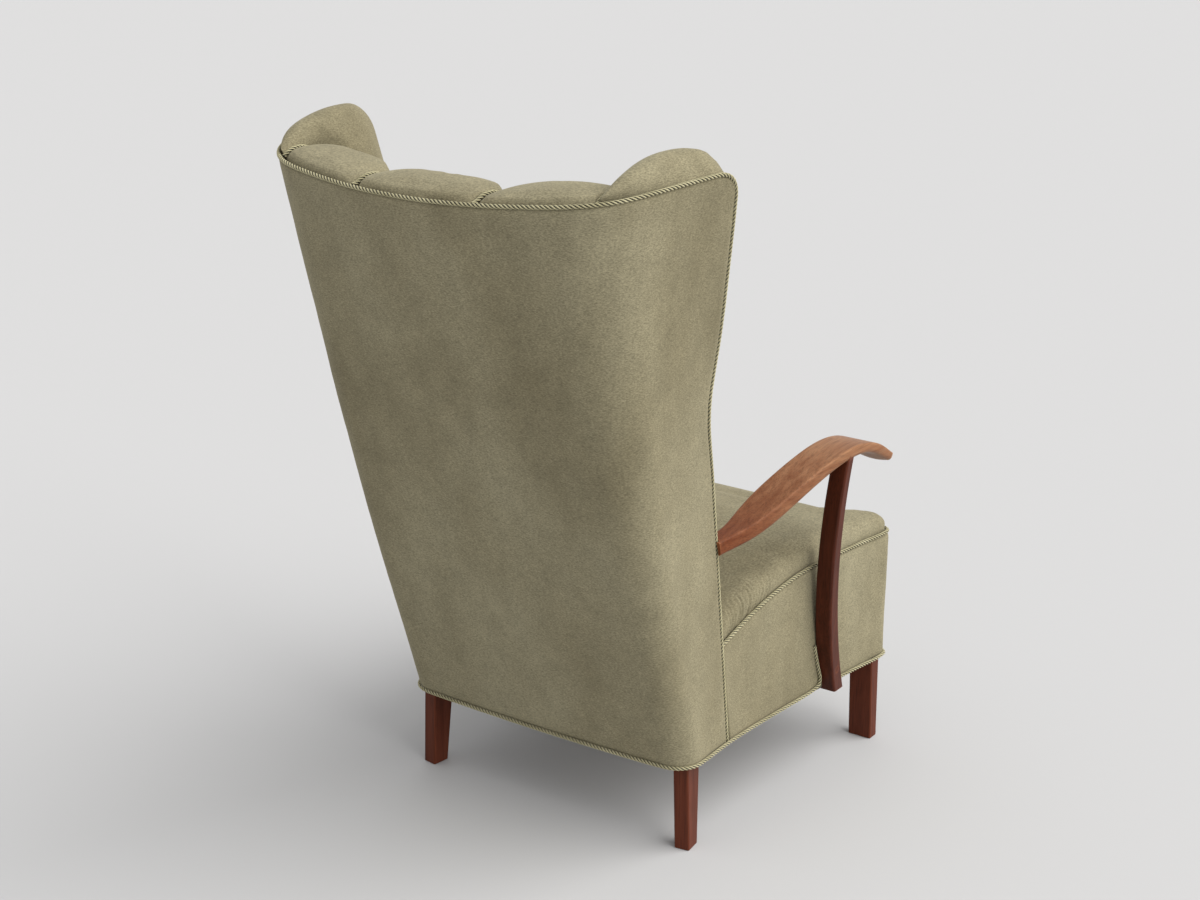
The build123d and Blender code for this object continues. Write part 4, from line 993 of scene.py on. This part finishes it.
def seam_route(low_x, top_x, side):
    """Cord in the valley between two channels, from the rear edge over the top and down inside."""
    high_z = top_z(top_x)
    high_y = ShellSection(high_z).rear_y(top_x) - COVER / 2 - CORD_CLEAR
    middle = (high_y - PAD_TOP_DEPTH / 2, high_z - SEAM_MIDDLE_DROP)
    looks = []
    for turn in spread(math.radians(SEAM_FIRST_LOOK), math.pi, SEAM_LOOKS):
        looks.append((middle, (math.cos(turn), math.sin(turn))))
    for z in spread(middle[1] - SEAM_FRONT_DROP, SEAM_FOOT_Z, SEAM_LOOKS):
        looks.append(((high_y - PAD_TOP_DEPTH / 2 - (middle[1] - z) * SEAM_SLOPE, z), (-1.0, 0.0)))
    points = [(side * top_x, high_y - CORD_R, high_z + CORD_CLEAR)]
    for centre, direction in looks:
        z = min(high_z, centre[1] + SEAM_MIDDLE_DROP * direction[1])
        x = side * (low_x + (top_x - low_x) * (z - PAD_BOTTOM_Z) / (high_z - PAD_BOTTOM_Z))
        points.append((x,) + valley_point(x, centre, direction))
    return points


seams = [seam_route(*pair, side) for pair in SEAM_PAIRS for side in (1, -1)]
print("seams", len(seams), "with", [len(seam) for seam in seams], "points")

# %% [markdown]
# A wing pad is a round skin between two lines: the outer one goes up the front edge, round the tip and
# back along the top, the inner one is the seam. The skin swells between them and a flatter one closes
# it behind. It could come from the solid, but the real pad is rounder than that and rolls over the cord.

# %% Wing pads
WING_IN = 7.5
WING_FRONT_ROWS = 80
WING_TOP_ROWS = 40
WING_COLUMNS = 24
WING_EDGE_POINTS = 40
WING_SHOULDER_LOOK = 9
WING_SWELL_FOOT = 14.0
WING_SWELL_MIDDLE = 56.0
WING_SWELL_TIP = 62.0
WING_SWELL_END = 13.0
WING_MIDDLE_AT = 0.7
WING_TIP_FROM = 0.75
WING_END_CURVE = 1.5
WING_LIFT = 0.45
WING_SKEW = 0.8
WING_ROUNDS = 40
WING_ROUND = 0.45
WING_HOLLOW = 9.0
OUTER_EASE = 4
INNER_EASE = 16
OUT_EASE = 80


def even_points(points, count):
    """So many points at even steps along a line of points."""
    lengths = [0.0]
    for first, second in zip(points, points[1:]):
        lengths.append(lengths[-1] + math.dist(first, second))
    made = []
    part = 0
    for length in spread(0.0, lengths[-1], count):
        while part < len(points) - 2 and lengths[part + 1] < length:
            part += 1
        share = (length - lengths[part]) / (lengths[part + 1] - lengths[part])
        made.append(Vector(points[part]).lerp(Vector(points[part + 1]), min(1.0, share)))
    return made


def eased(points, rounds):
    """The points of a line, each drawn towards its neighbours; the ends stay."""
    for _ in range(rounds):
        middle = [(a + b * 2.0 + c) / 4.0 for a, b, c in zip(points, points[1:], points[2:])]
        points = [points[0]] + middle + [points[-1]]
    return points


def wing_lines():
    """Outer and inner line of the left wing pad, from the foot to where they meet at the rear."""
    front = [cover_place(0.0, z, WING_IN) + (z,) for z in spread(SEAM_FOOT_Z, tops[0], WING_EDGE_POINTS)]
    over = [front[-1]]
    for column, top in zip(cover_columns[1:], tops[1:]):
        place = cover_place(column, top, WING_IN)
        if place[0] < SEAM_PAIRS[1][1] + CORD_R:
            break
        over.append(place + (top,))
    seam = seams[OUTER_LEFT_SEAM]
    rising = seam[WING_SHOULDER_LOOK:][::-1]
    rearward = seam[:WING_SHOULDER_LOOK + 1][::-1]
    outer = even_points(front, WING_FRONT_ROWS) + even_points(over, WING_TOP_ROWS)[1:]
    inner = even_points(rising, WING_FRONT_ROWS) + even_points(rearward, WING_TOP_ROWS)[1:]
    return eased(outer, OUTER_EASE), eased(inner, INNER_EASE)


def near_tip(row):
    """Share of the wing's tip at a row, 0 well below it and 1 from the tip on."""
    return share_of(row, WING_FRONT_ROWS * WING_TIP_FROM, WING_FRONT_ROWS)


def wing_swell(row, last):
    """How far the wing's skin stands out at a row, in millimetres."""
    swell = WING_SWELL_FOOT
    swell += (WING_SWELL_MIDDLE - WING_SWELL_FOOT) * share_of(row, 0.0, WING_FRONT_ROWS * WING_MIDDLE_AT)
    swell += (WING_SWELL_TIP - WING_SWELL_MIDDLE) * near_tip(row)
    swell += (WING_SWELL_END - WING_SWELL_TIP) * share_of(row, WING_FRONT_ROWS, last) ** WING_END_CURVE
    return swell


def ring_faces(rings, around):
    """Faces between rings of points, each ring closed on itself."""
    made = []
    for row in range(rings - 1):
        for column in range(around):
            first = row * around + column
            second = row * around + (column + 1) % around
            made.append((first, second, second + around, first + around))
    return made


def wing_mesh(name, side):
    """Closed mesh of one wing pad: a swelling skin, a flat one behind it and a cap at each end."""
    outer, inner = wing_lines()
    last = len(outer) - 1
    around = 2 * WING_COLUMNS
    outs = []
    for row in range(last + 1):
        before = max(0, row - 1)
        after = min(last, row + 1)
        along = (outer[after] - outer[before]).normalized() + (inner[after] - inner[before]).normalized()
        lift = Vector((0.0, 0.0, WING_LIFT * near_tip(row)))
        outs.append(along.cross(inner[row] - outer[row]).normalized() + lift)
    outs = eased(outs, OUT_EASE)
    points = []
    for row in range(last + 1):
        across = inner[row] - outer[row]
        out = outs[row].normalized()
        swell = wing_swell(row, last)
        for column in range(around):
            share = column / WING_COLUMNS if column <= WING_COLUMNS else 2.0 - column / WING_COLUMNS
            skewed = share ** WING_SKEW
            full = (4.0 * skewed * (1.0 - skewed)) ** WING_ROUND
            depth = swell if column <= WING_COLUMNS else -WING_HOLLOW
            place = outer[row] + across * share + out * (depth * full)
            points.append((side * place.x, place.y, place.z))
    caps = [tuple(range(around)), tuple(range(last * around, (last + 1) * around))]
    faces = caps + ring_faces(last + 1, around)
    mesh = bpy.data.meshes.new(name)
    mesh.from_pydata([metres(*point) for point in points], [], faces)
    return outward(mesh)


for node, name, side in (("wing_pad_left", "left_wing_pad", 1), ("wing_pad_right", "right_wing_pad", -1)):
    wing = stuffed(new_object(name, wing_mesh(name, side)), WING_ROUNDS, 1.0, 2.0)
    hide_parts(node)
    print(name, len(wing.data.polygons), "faces")

# %% [markdown]
# The seat pad is drawn from the seat's own plan. Round its edge the skin starts behind the cord, swells
# outwards a little and turns over a round shoulder, wide and soft at the front and tighter at the
# sides, and the top is lightly crowned. It could be the solid's shape with rounded edges, but then the
# front would lack its long soft slope.

# %% Seat pad
SEAT_REAR_Y = -66.0
SEAT_MIDDLE_Y = -330.0
RIM_STEPS = 14
TOP_STEPS = 16
SIDE_SHOULDER = 40.0
FRONT_SHOULDER = 105.0
RIM_RISE = 37.0
RIM_FOOT = -12.0
RIM_TUCK = 5.0
RIM_SWELL = 26.0
SEAT_CROWN = 7.0
SEAT_CELL = 7.0
SEAT_ROUNDS = 6
FRONT_DROP = 0.24
FRONT_DROP_FROM = -380.0
FRONT_DROP_RUN = 180.0
SEAT_REAR_STEPS = 24
FRONT_BLEND_FROM = 70.0
FRONT_BLEND_RUN = 60.0
FRONT_BLEND_CURVE = 8
SIDE_CURVE = 1.8
SIDE_FULLNESS = 0.75
STRAIGHT_IN = 0.02
SEAT_BOTTOM_Z = SEAT_CORD_Z - 80.0


def seat_plan(step):
    """The border's plan without the arm posts, carried back under the inside back."""
    turn_y = FRONT_CORNER_Y + CORNER_ROUND
    if step <= BORDER_SIDE_STEPS:
        y = SEAT_REAR_Y + (turn_y - SEAT_REAR_Y) * step / BORDER_SIDE_STEPS
        return (border_x(y), y)
    return border_place(step, SEAT_CORD_Z, 0.0)


def seat_ring():
    """Plan points round the seat, each with its shares of the front shoulder and of the rear."""
    ring = []
    for side in (1, -1):
        for step in range(border_steps + 1) if side > 0 else range(border_steps - 1, -1, -1):
            x, y = seat_plan(step)
            front = share_of(FRONT_CORNER_Y + FRONT_BLEND_FROM - y, 0.0, FRONT_BLEND_RUN)
            front *= max(0.0, 1.0 - (x / FRONT_HALF) ** FRONT_BLEND_CURVE)
            ring.append((side * x, y, front, 0.0))
    end_x = ring[0][0]
    for step in range(1, SEAT_REAR_STEPS):
        ring.append((-end_x + 2 * end_x * step / SEAT_REAR_STEPS, SEAT_REAR_Y, 0.0, 1.0))
    return ring


def rim_height(y):
    """Height of the rim above the cord, less towards the front."""
    return (CORD_CLEAR + RIM_RISE) * (1.0 - FRONT_DROP * share_of(FRONT_DROP_FROM - y, 0.0, FRONT_DROP_RUN))


def rim_place(point, angle):
    """Place on the rim at an angle from its foot, 0, to the top, a right angle."""
    x, y, front, rear = point
    swing = 1.0 - math.cos(angle)
    inset = (1.0 - front) * SIDE_SHOULDER * swing ** SIDE_CURVE + front * FRONT_SHOULDER * swing
    fullness = SIDE_FULLNESS + (1.0 - SIDE_FULLNESS) * front
    rise = RIM_FOOT + (rim_height(y) - RIM_FOOT) * math.sin(angle) ** fullness
    inset += RIM_TUCK * max(0.0, 1.0 - (rise - RIM_FOOT) / RIM_SWELL)
    inward = unit(-x, (SEAT_MIDDLE_Y - y) * (STRAIGHT_IN + (1.0 - STRAIGHT_IN) * max(front, rear)))
    if front > 0.0:
        inward = unit(-x * (1.0 - front), abs(x) * front + (SEAT_MIDDLE_Y - y) * STRAIGHT_IN)
    inset *= 1.0 - rear
    return (x + inset * inward[0], y + inset * inward[1], seat_cord_z(y) + rise)


ring = seat_ring()
wide = len(ring)
seat_points = []
for step in range(RIM_STEPS + 1):
    seat_points += [rim_place(point, math.pi / 2 * step / RIM_STEPS) for point in ring]
shoulder = seat_points[-wide:]
for step in range(1, TOP_STEPS):
    keep = 1.0 - step / TOP_STEPS
    for x, y, z in shoulder:
        place_y = SEAT_MIDDLE_Y + (y - SEAT_MIDDLE_Y) * keep
        crown = rim_height(place_y) + SEAT_CROWN * (1.0 - keep * keep)
        seat_points.append((x * keep, place_y, seat_cord_z(place_y) + crown))
rings_made = RIM_STEPS + TOP_STEPS
faces = ring_faces(rings_made, wide)
crown_z = seat_cord_z(SEAT_MIDDLE_Y) + rim_height(SEAT_MIDDLE_Y) + SEAT_CROWN
for height, row in ((crown_z, rings_made - 1), (SEAT_BOTTOM_Z, 0)):
    seat_points.append((0.0, SEAT_MIDDLE_Y, height))
    centre = len(seat_points) - 1
    for column in range(wide):
        after = (column + 1) % wide
        faces.append((row * wide + column, row * wide + after, centre))
seat_mesh = bpy.data.meshes.new("seat_cushion")
seat_mesh.from_pydata([metres(*point) for point in seat_points], [], faces)
seat = new_object("seat_cushion", outward(seat_mesh))
even_net(seat, SEAT_CELL)
stuffed(seat, SEAT_ROUNDS, 1.5, 3.0)
print("seat skin", len(seat.data.polygons), "faces")

# %% [markdown]
# Near the back the seat's cloth is gathered: small upright pleats fan out above the cord and fade into
# the shoulder. A bump in the finish would look flat from the side, so the net is made finer there and
# its points are moved in and out, as a wave along the seam.

# %% Gathers
GATHER_REACH = 46.0
GATHER_START_Y = -95.0
GATHER_END_Y = -250.0
GATHER_WIDE = 26.0
PLEAT = 9.5
PLEAT_DEEP = 3.4
PLEAT_FAN = 0.3
PLEAT_DRIFT = (4.0, 24.0)
PLEAT_SHARE = 0.6
PLEAT_CHANGE = (1.2, 15.0)
PLEAT_CHANGE_X = 50.0
finer = seat.modifiers.new("finer", "SUBSURF")
finer.levels = 1
finer.render_levels = 1
seat.data = evaluated_mesh(seat)


def gathering(place):
    """How strongly the cloth is gathered at a place, 0 to 1."""
    x, y, z = drawing(place)
    if abs(x) < border_x(y) - GATHER_WIDE:
        return 0.0
    along = (y - GATHER_START_Y) / (GATHER_END_Y - GATHER_START_Y)
    near = share_of(GATHER_REACH - (z - seat_cord_z(y)), 0.0, GATHER_REACH)
    return near * math.sin(math.pi * along) if 0.0 < along < 1.0 else 0.0


net = bmesh.new()
net.from_mesh(seat.data)
gathered = [edge for edge in net.edges if all(gathering(vertex.co) > 0.0 for vertex in edge.verts)]
bmesh.ops.subdivide_edges(net, edges=gathered, cuts=1, use_grid_fill=True)
net.normal_update()
pleated = []
for vertex in net.verts:
    x, y, z = drawing(vertex.co)
    fan_y = y + PLEAT_FAN * (z - seat_cord_z(y))
    wave = math.sin(2 * math.pi * fan_y / PLEAT + uneven((0.0, y, 0.0), *PLEAT_DRIFT))
    strength = PLEAT_SHARE + uneven((PLEAT_CHANGE_X, fan_y, 0.0), *PLEAT_CHANGE)
    depth = PLEAT_DEEP * gathering(vertex.co) * strength * wave
    pleated.append(vertex.co + vertex.normal * (depth / 1000.0))
for vertex, place in zip(net.verts, pleated):
    vertex.co = place
net.to_mesh(seat.data)
net.free()
seat.data.shade_smooth()
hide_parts("seat_pad")
print("seat pad", len(seat.data.polygons), "faces")

# %% [markdown]
# Every seam carries a twisted cord of three strands. A strand's cross section is a circle a little off
# the cord's middle. Geometry Nodes sets three of them in a ring, carries the ring along the seam's
# line and turns it steadily on the way, so the strands wind round each other with the wanted lay.
# Each point keeps its distance from the middle, and the finish paints shade deep between the strands.

# %% Twisted cord nodes
STRANDS = 3
STRAND_R = 1.60
STRAND_OUT = 1.82
STRAND_SIDES = 8
LAY = 21.0
CORD_STEP = 1.6
CORD_DARK = (0.36, 0.325, 0.185)
CORD_LIGHT = (0.48, 0.44, 0.27)


def cord_material():
    """Cotton-like finish, with shade painted deep between the strands."""
    material, tree, shader = node_material("twisted_cord")
    clouds = object_noise(tree, (1.0, 1.0, 1.0), 22.0, 3.0)
    base = ramp(tree, clouds, ((0.3, CORD_DARK), (0.7, CORD_LIGHT)))
    fibre = object_noise(tree, (1.0, 1.0, 1.0), 900.0, 2.0)
    fibre_shade = ramp(tree, fibre, ((0.3, grey(0.3)), (0.7, grey(0.7))))
    colour = mix(tree, "OVERLAY", 0.5, base, fibre_shade)
    middle = add(tree, "ShaderNodeAttribute", attribute_name="from_middle")
    reach = add(tree, "ShaderNodeMapRange")
    deepest = (STRAND_OUT - 0.1) / 1000.0
    set_values(reach, {"From Min": deepest, "From Max": (STRAND_OUT + STRAND_R) / 1000.0})
    tree.links.new(middle.outputs["Fac"], reach.inputs["Value"])
    # Painted shade: darker where a point lies deep between the strands.
    painted_crevice_shade = ramp(tree, reach.outputs["Result"], ((0.30, grey(0.12)), (0.80, grey(1.0))))
    colour = mix(tree, "MULTIPLY", 1.0, colour, painted_crevice_shade)
    tree.links.new(colour, shader.inputs["Base Color"])
    set_values(shader, {"Roughness": 0.7, "Specular IOR Level": 0.3, "Sheen Weight": 0.15})
    return material


def cord_tree(finish):
    """Node tree that turns a line into a twisted cord."""
    tree = bpy.data.node_groups.new("twisted_cord", "GeometryNodeTree")
    face = tree.interface
    face.new_socket("Line", in_out="INPUT", socket_type="NodeSocketGeometry")
    for name, kind in (
        ("Strands", "NodeSocketInt"),
        ("Strand Radius", "NodeSocketFloat"),
        ("Strand Offset", "NodeSocketFloat"),
        ("Lay", "NodeSocketFloat"),
        ("Step", "NodeSocketFloat"),
    ):
        face.new_socket(name, in_out="INPUT", socket_type=kind)
    face.new_socket("Cord", in_out="OUTPUT", socket_type="NodeSocketGeometry")
    inputs = add(tree, "NodeGroupInput")
    output = add(tree, "NodeGroupOutput")
    even = add(tree, "GeometryNodeResampleCurve", mode="LENGTH")
    upright = add(tree, "GeometryNodeSetCurveNormal", mode="MINIMUM_TWIST")
    place = add(tree, "GeometryNodeSplineParameter")
    turns = add(tree, "ShaderNodeMath", operation="DIVIDE")
    angle = add(tree, "ShaderNodeMath", operation="MULTIPLY")
    angle.inputs[1].default_value = 2 * math.pi
    twist = add(tree, "GeometryNodeSetCurveTilt")
    ring = add(tree, "GeometryNodeMeshCircle")
    strand = add(tree, "GeometryNodeCurvePrimitiveCircle", mode="RADIUS")
    set_values(strand, {"Resolution": STRAND_SIDES})
    set_ring = add(tree, "GeometryNodeInstanceOnPoints")
    profile = add(tree, "GeometryNodeRealizeInstances")
    from_middle = add(tree, "GeometryNodeInputPosition")
    depth = add(tree, "ShaderNodeVectorMath", operation="LENGTH")
    keep = add(tree, "GeometryNodeStoreNamedAttribute", data_type="FLOAT", domain="POINT")
    set_values(keep, {"Name": "from_middle"})
    carry = add(tree, "GeometryNodeCurveToMesh")
    set_values(carry, {"Fill Caps": True})
    round_look = add(tree, "GeometryNodeSetShadeSmooth")
    real = add(tree, "GeometryNodeRealizeInstances")
    dress = add(tree, "GeometryNodeSetMaterial")
    set_values(dress, {"Material": finish})
    for source, target in (
        (inputs.outputs["Line"], even.inputs["Curve"]),
        (inputs.outputs["Step"], even.inputs["Length"]),
        (even.outputs["Curve"], upright.inputs["Curve"]),
        (place.outputs["Length"], turns.inputs[0]),
        (inputs.outputs["Lay"], turns.inputs[1]),
        (turns.outputs["Value"], angle.inputs[0]),
        (upright.outputs["Curve"], twist.inputs["Curve"]),
        (angle.outputs["Value"], twist.inputs["Tilt"]),
        (inputs.outputs["Strands"], ring.inputs["Vertices"]),
        (inputs.outputs["Strand Offset"], ring.inputs["Radius"]),
        (inputs.outputs["Strand Radius"], strand.inputs["Radius"]),
        (ring.outputs["Mesh"], set_ring.inputs["Points"]),
        (strand.outputs["Curve"], set_ring.inputs["Instance"]),
        (set_ring.outputs["Instances"], profile.inputs["Geometry"]),
        (twist.outputs["Curve"], carry.inputs["Curve"]),
        (from_middle.outputs["Position"], depth.inputs[0]),
        (profile.outputs["Geometry"], keep.inputs["Geometry"]),
        (depth.outputs["Value"], keep.inputs["Value"]),
        (keep.outputs["Geometry"], carry.inputs["Profile Curve"]),
        (carry.outputs["Mesh"], round_look.inputs["Geometry"]),
        (round_look.outputs["Geometry"], real.inputs["Geometry"]),
        (real.outputs["Geometry"], dress.inputs["Geometry"]),
        (dress.outputs["Geometry"], output.inputs["Cord"]),
    ):
        tree.links.new(source, target)
    return tree


cord_nodes = cord_tree(cord_material())


def twisted_cord(name, routes, node):
    """One piece with a cord along each route, a list of points in drawing millimetres."""
    line = bpy.data.curves.new(name + "_line", "CURVE")
    line.dimensions = "3D"
    for route in routes:
        spline = line.splines.new("NURBS")
        spline.points.add(len(route) - 1)
        for point, place in zip(spline.points, route):
            point.co = (*metres(*place), 1.0)
        spline.order_u = 3
        spline.use_endpoint_u = True
        spline.resolution_u = 16
    holder = new_object(name + "_line", line)
    winding = holder.modifiers.new("winding", "NODES")
    winding.node_group = cord_nodes
    values = {
        "Strands": STRANDS,
        "Strand Radius": STRAND_R / 1000.0,
        "Strand Offset": STRAND_OUT / 1000.0,
        "Lay": LAY / 1000.0,
        "Step": CORD_STEP / 1000.0,
    }
    for item in cord_nodes.interface.items_tree:
        if item.in_out == "INPUT" and item.name in values:
            winding[item.identifier] = values[item.name]
    holder.update_tag()
    bpy.context.view_layer.update()
    piece = new_object(name, evaluated_mesh(holder))
    bpy.data.objects.remove(holder)
    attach(piece, "root")
    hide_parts(node)
    length = sum(run_length(route) for route in routes)
    print(name, round(length, 2), "m,", len(piece.data.polygons), "faces")


# %% [markdown]
# The cords follow the same lines as in the solids: round the outside back from foot to foot, over
# the top in each seam between the channels, round the seat, and along the base, where the cord rises
# behind each arm post and turns in under it.

# %% Cord routes
EDGE_STRAIGHT = 0.42
EDGE_POINTS = 12
EDGE_CORD_TRIM = -0.8
EDGE_CORD_IN = 4.2
TIP_EASE = 5.0
CORNER_POINTS = 5
REAR_POINTS = 4
REAR_FIRST = 0.75
FRONT_TURN_SIDE = 38.0
FRONT_TURN_TUCK = 2.0
FRONT_TURN_CUT = 0.16
FRONT_TURN_DIAGONAL = 0.7
FRONT_TURN_IN = 40.0
FRONT_TURN_BOW = 3.0
FRONT_MIDWAY_X = 150.0
FRONT_MIDWAY_BOW = 0.79
NOTCH_Z = 240.0
NOTCH_OUT = 1.0
BASE_MIDWAY_Y = -250.0
BASE_FRONT_Y = -500.0
SHELL_FRONT_GAP = 6.0
NOTCH_TURN = 14.0
BASE_CORD_OUT = 2.6
SEAT_CORD_IN = 2.0


def mirrored_route(points):
    """Points of one half, last one on the middle plane, completed on the other side."""
    return list(points) + [(-x, y, z) for x, y, z in reversed(points[:-1])]


def edge_route():
    """Half of the cord round the outside back, from the base to the middle of the top."""
    bend = TIP_BEND * TIP_ROUND
    middle = COVER / 2
    heights = [BASE_Z + CORD_R] + spread(BASE_Z + EDGE_STRAIGHT * BACK_RISE, tip_z - bend, EDGE_POINTS)
    points = [ShellSection(z).side_point(EDGE_CORD_TRIM, EDGE_CORD_IN) + (z,) for z in heights]
    section = ShellSection(tip_z)
    points.append(section.side_point(TIP_EASE, middle) + (tip_z + CORD_CLEAR - TIP_EASE,))
    side = section.side_point(bend, middle)
    points.append(side + (top_z(side[0]) + CORD_CLEAR,))
    for turn in spread(0.0, 1.0, CORNER_POINTS):
        x = section.corner_point(section.between(turn), middle)[0]
        section = ShellSection(top_z(x))
        points.append(section.corner_point(section.between(turn), 0.0) + (top_z(x) + CORD_CLEAR,))
    for x in spread(points[-1][0] * REAR_FIRST, 0.0, REAR_POINTS):
        points.append((x, ShellSection(top_z(x)).rear_y(x) - middle, top_z(x) + CORD_CLEAR))
    return points


def front_turn(inset):
    """Half of a line round the seat's front, from the side to the middle."""
    cut = CORNER_ROUND * FRONT_TURN_CUT
    slant = inset * FRONT_TURN_DIAGONAL
    return [
        (FRONT_HALF - FRONT_TURN_TUCK - inset, FRONT_CORNER_Y + FRONT_TURN_SIDE),
        (FRONT_HALF - cut - slant, FRONT_CORNER_Y + cut + slant),
        (FRONT_HALF - FRONT_TURN_IN, FRONT_CORNER_Y - FRONT_TURN_BOW + inset),
        (FRONT_MIDWAY_X, FRONT_CORNER_Y - FRONT_BOW * FRONT_MIDWAY_BOW + inset),
        (0.0, FRONT_CORNER_Y - FRONT_BOW + inset),
    ]


def seat_route():
    """Half of the cord between the seat pad and its border."""
    inset = SEAT_CORD_IN
    sides = spread(SEAT_CORD_REAR_Y - 2.0, FRONT_CORNER_Y + 90.0, 8)
    points = [(border_x(y) - inset, y, seat_cord_z(y)) for y in sides]
    return points + [(x, y, SEAT_CORD_Z) for x, y in front_turn(inset)]


def base_routes():
    """Halves of the two lengths along the base: round the rear with a rise at the post, and the front."""
    z = BASE_Z + CORD_R
    shell = ShellSection(z)
    half_z = (NOTCH_Z + z) / 2
    foot_y = post_rear_y(z + NOTCH_TURN) + CORD_CLEAR
    rear = [
        (border_x(post_rear_y(NOTCH_Z)) + CORD_GAP, post_rear_y(NOTCH_Z) + CORD_CLEAR, NOTCH_Z),
        (border_x(post_rear_y(half_z)) + NOTCH_OUT, post_rear_y(half_z) + CORD_CLEAR + CORD_EASE, half_z),
        (border_x(foot_y) + BASE_CORD_OUT, foot_y, z + NOTCH_TURN),
        (border_x(foot_y + NOTCH_TURN) + BASE_CORD_OUT, foot_y + NOTCH_TURN, z),
        (border_x(BASE_MIDWAY_Y) + BASE_CORD_OUT, BASE_MIDWAY_Y, z),
        (border_x(EDGE_Y) + BASE_CORD_OUT, EDGE_Y - SHELL_FRONT_GAP, z),
    ]
    turns = [shell.between(turn) for turn in spread(0.0, 1.0, CORNER_POINTS)]
    rear += [shell.corner_point(turn, -BASE_CORD_OUT) + (z,) for turn in turns]
    across = spread(rear[-1][0] * REAR_FIRST, 0.0, REAR_POINTS)
    rear += [(x, shell.rear_y(x) + BASE_CORD_OUT, z) for x in across]
    start_y = post_rear_y(z) - POST_DEEP - CORD_CLEAR
    front = [(border_x(y) + BASE_CORD_OUT, y, z) for y in (start_y, BASE_FRONT_Y)]
    front += [(x, y, z) for x, y in front_turn(-BASE_CORD_OUT)]
    return [rear, front]


twisted_cord("outside_edge_cord", [mirrored_route(edge_route())], "back_edge_cord")
twisted_cord("channel_seam_cords", seams, "back_seam_cords")
twisted_cord("seat_edge_cord", [mirrored_route(seat_route())], "seat_cord")
twisted_cord("base_edge_cord", [mirrored_route(route) for route in base_routes()], "base_cord")

# %% [markdown]
# Under the covers lie the plain cloths and the straps. The cloths sag a little between their tacks,
# and the straps are a touch uneven, so they get a finer net and a soft wave. They show only from
# below, or where a corner lets one look in.

# %% Linings and straps
LINING_CELL = 0.04
LINING_WAVES = 9.0
CLOTH_SAG = 0.25
STRAP_SAG = 0.15


def slack_copy(name, node, finish, sag):
    """A copy of a thin CAD node with a finer net and a soft wave, both faces moved alike."""
    piece = node_copy(name, node)
    net = bmesh.new()
    net.from_mesh(piece.data)
    for _ in range(5):
        long_edges = [edge for edge in net.edges if edge.calc_length() > LINING_CELL]
        if not long_edges:
            break
        bmesh.ops.subdivide_edges(net, edges=long_edges, cuts=1)
    bmesh.ops.triangulate(net, faces=net.faces)
    for vertex in net.verts:
        flat_place = Vector((vertex.co.x, vertex.co.y, 0.0))
        vertex.co.z += sag / 1000.0 * noise.noise(flat_place * LINING_WAVES)
    net.to_mesh(piece.data)
    net.free()
    coat(piece.data, finish)
    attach(piece, "root")
    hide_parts(node)
    return piece


SHEET_NODES = (
    ("dust_cloth", "under_cloth", SEAT_FRAME),
    ("spring_cloth", "spring_cover_cloth", ("seat_springs",)),
    ("back_cloth", "back_lining", ("back_webbing",)),
)
for node, name, rests_on in SHEET_NODES:
    cloth = slack_copy(name, node, lining_cloth, CLOTH_SAG)
for node, name in (("seat_webbing", "seat_straps"), ("back_webbing", "back_straps")):
    strap = slack_copy(name, node, strap_cloth, STRAP_SAG)
    print(name, len(strap.data.polygons), "faces")
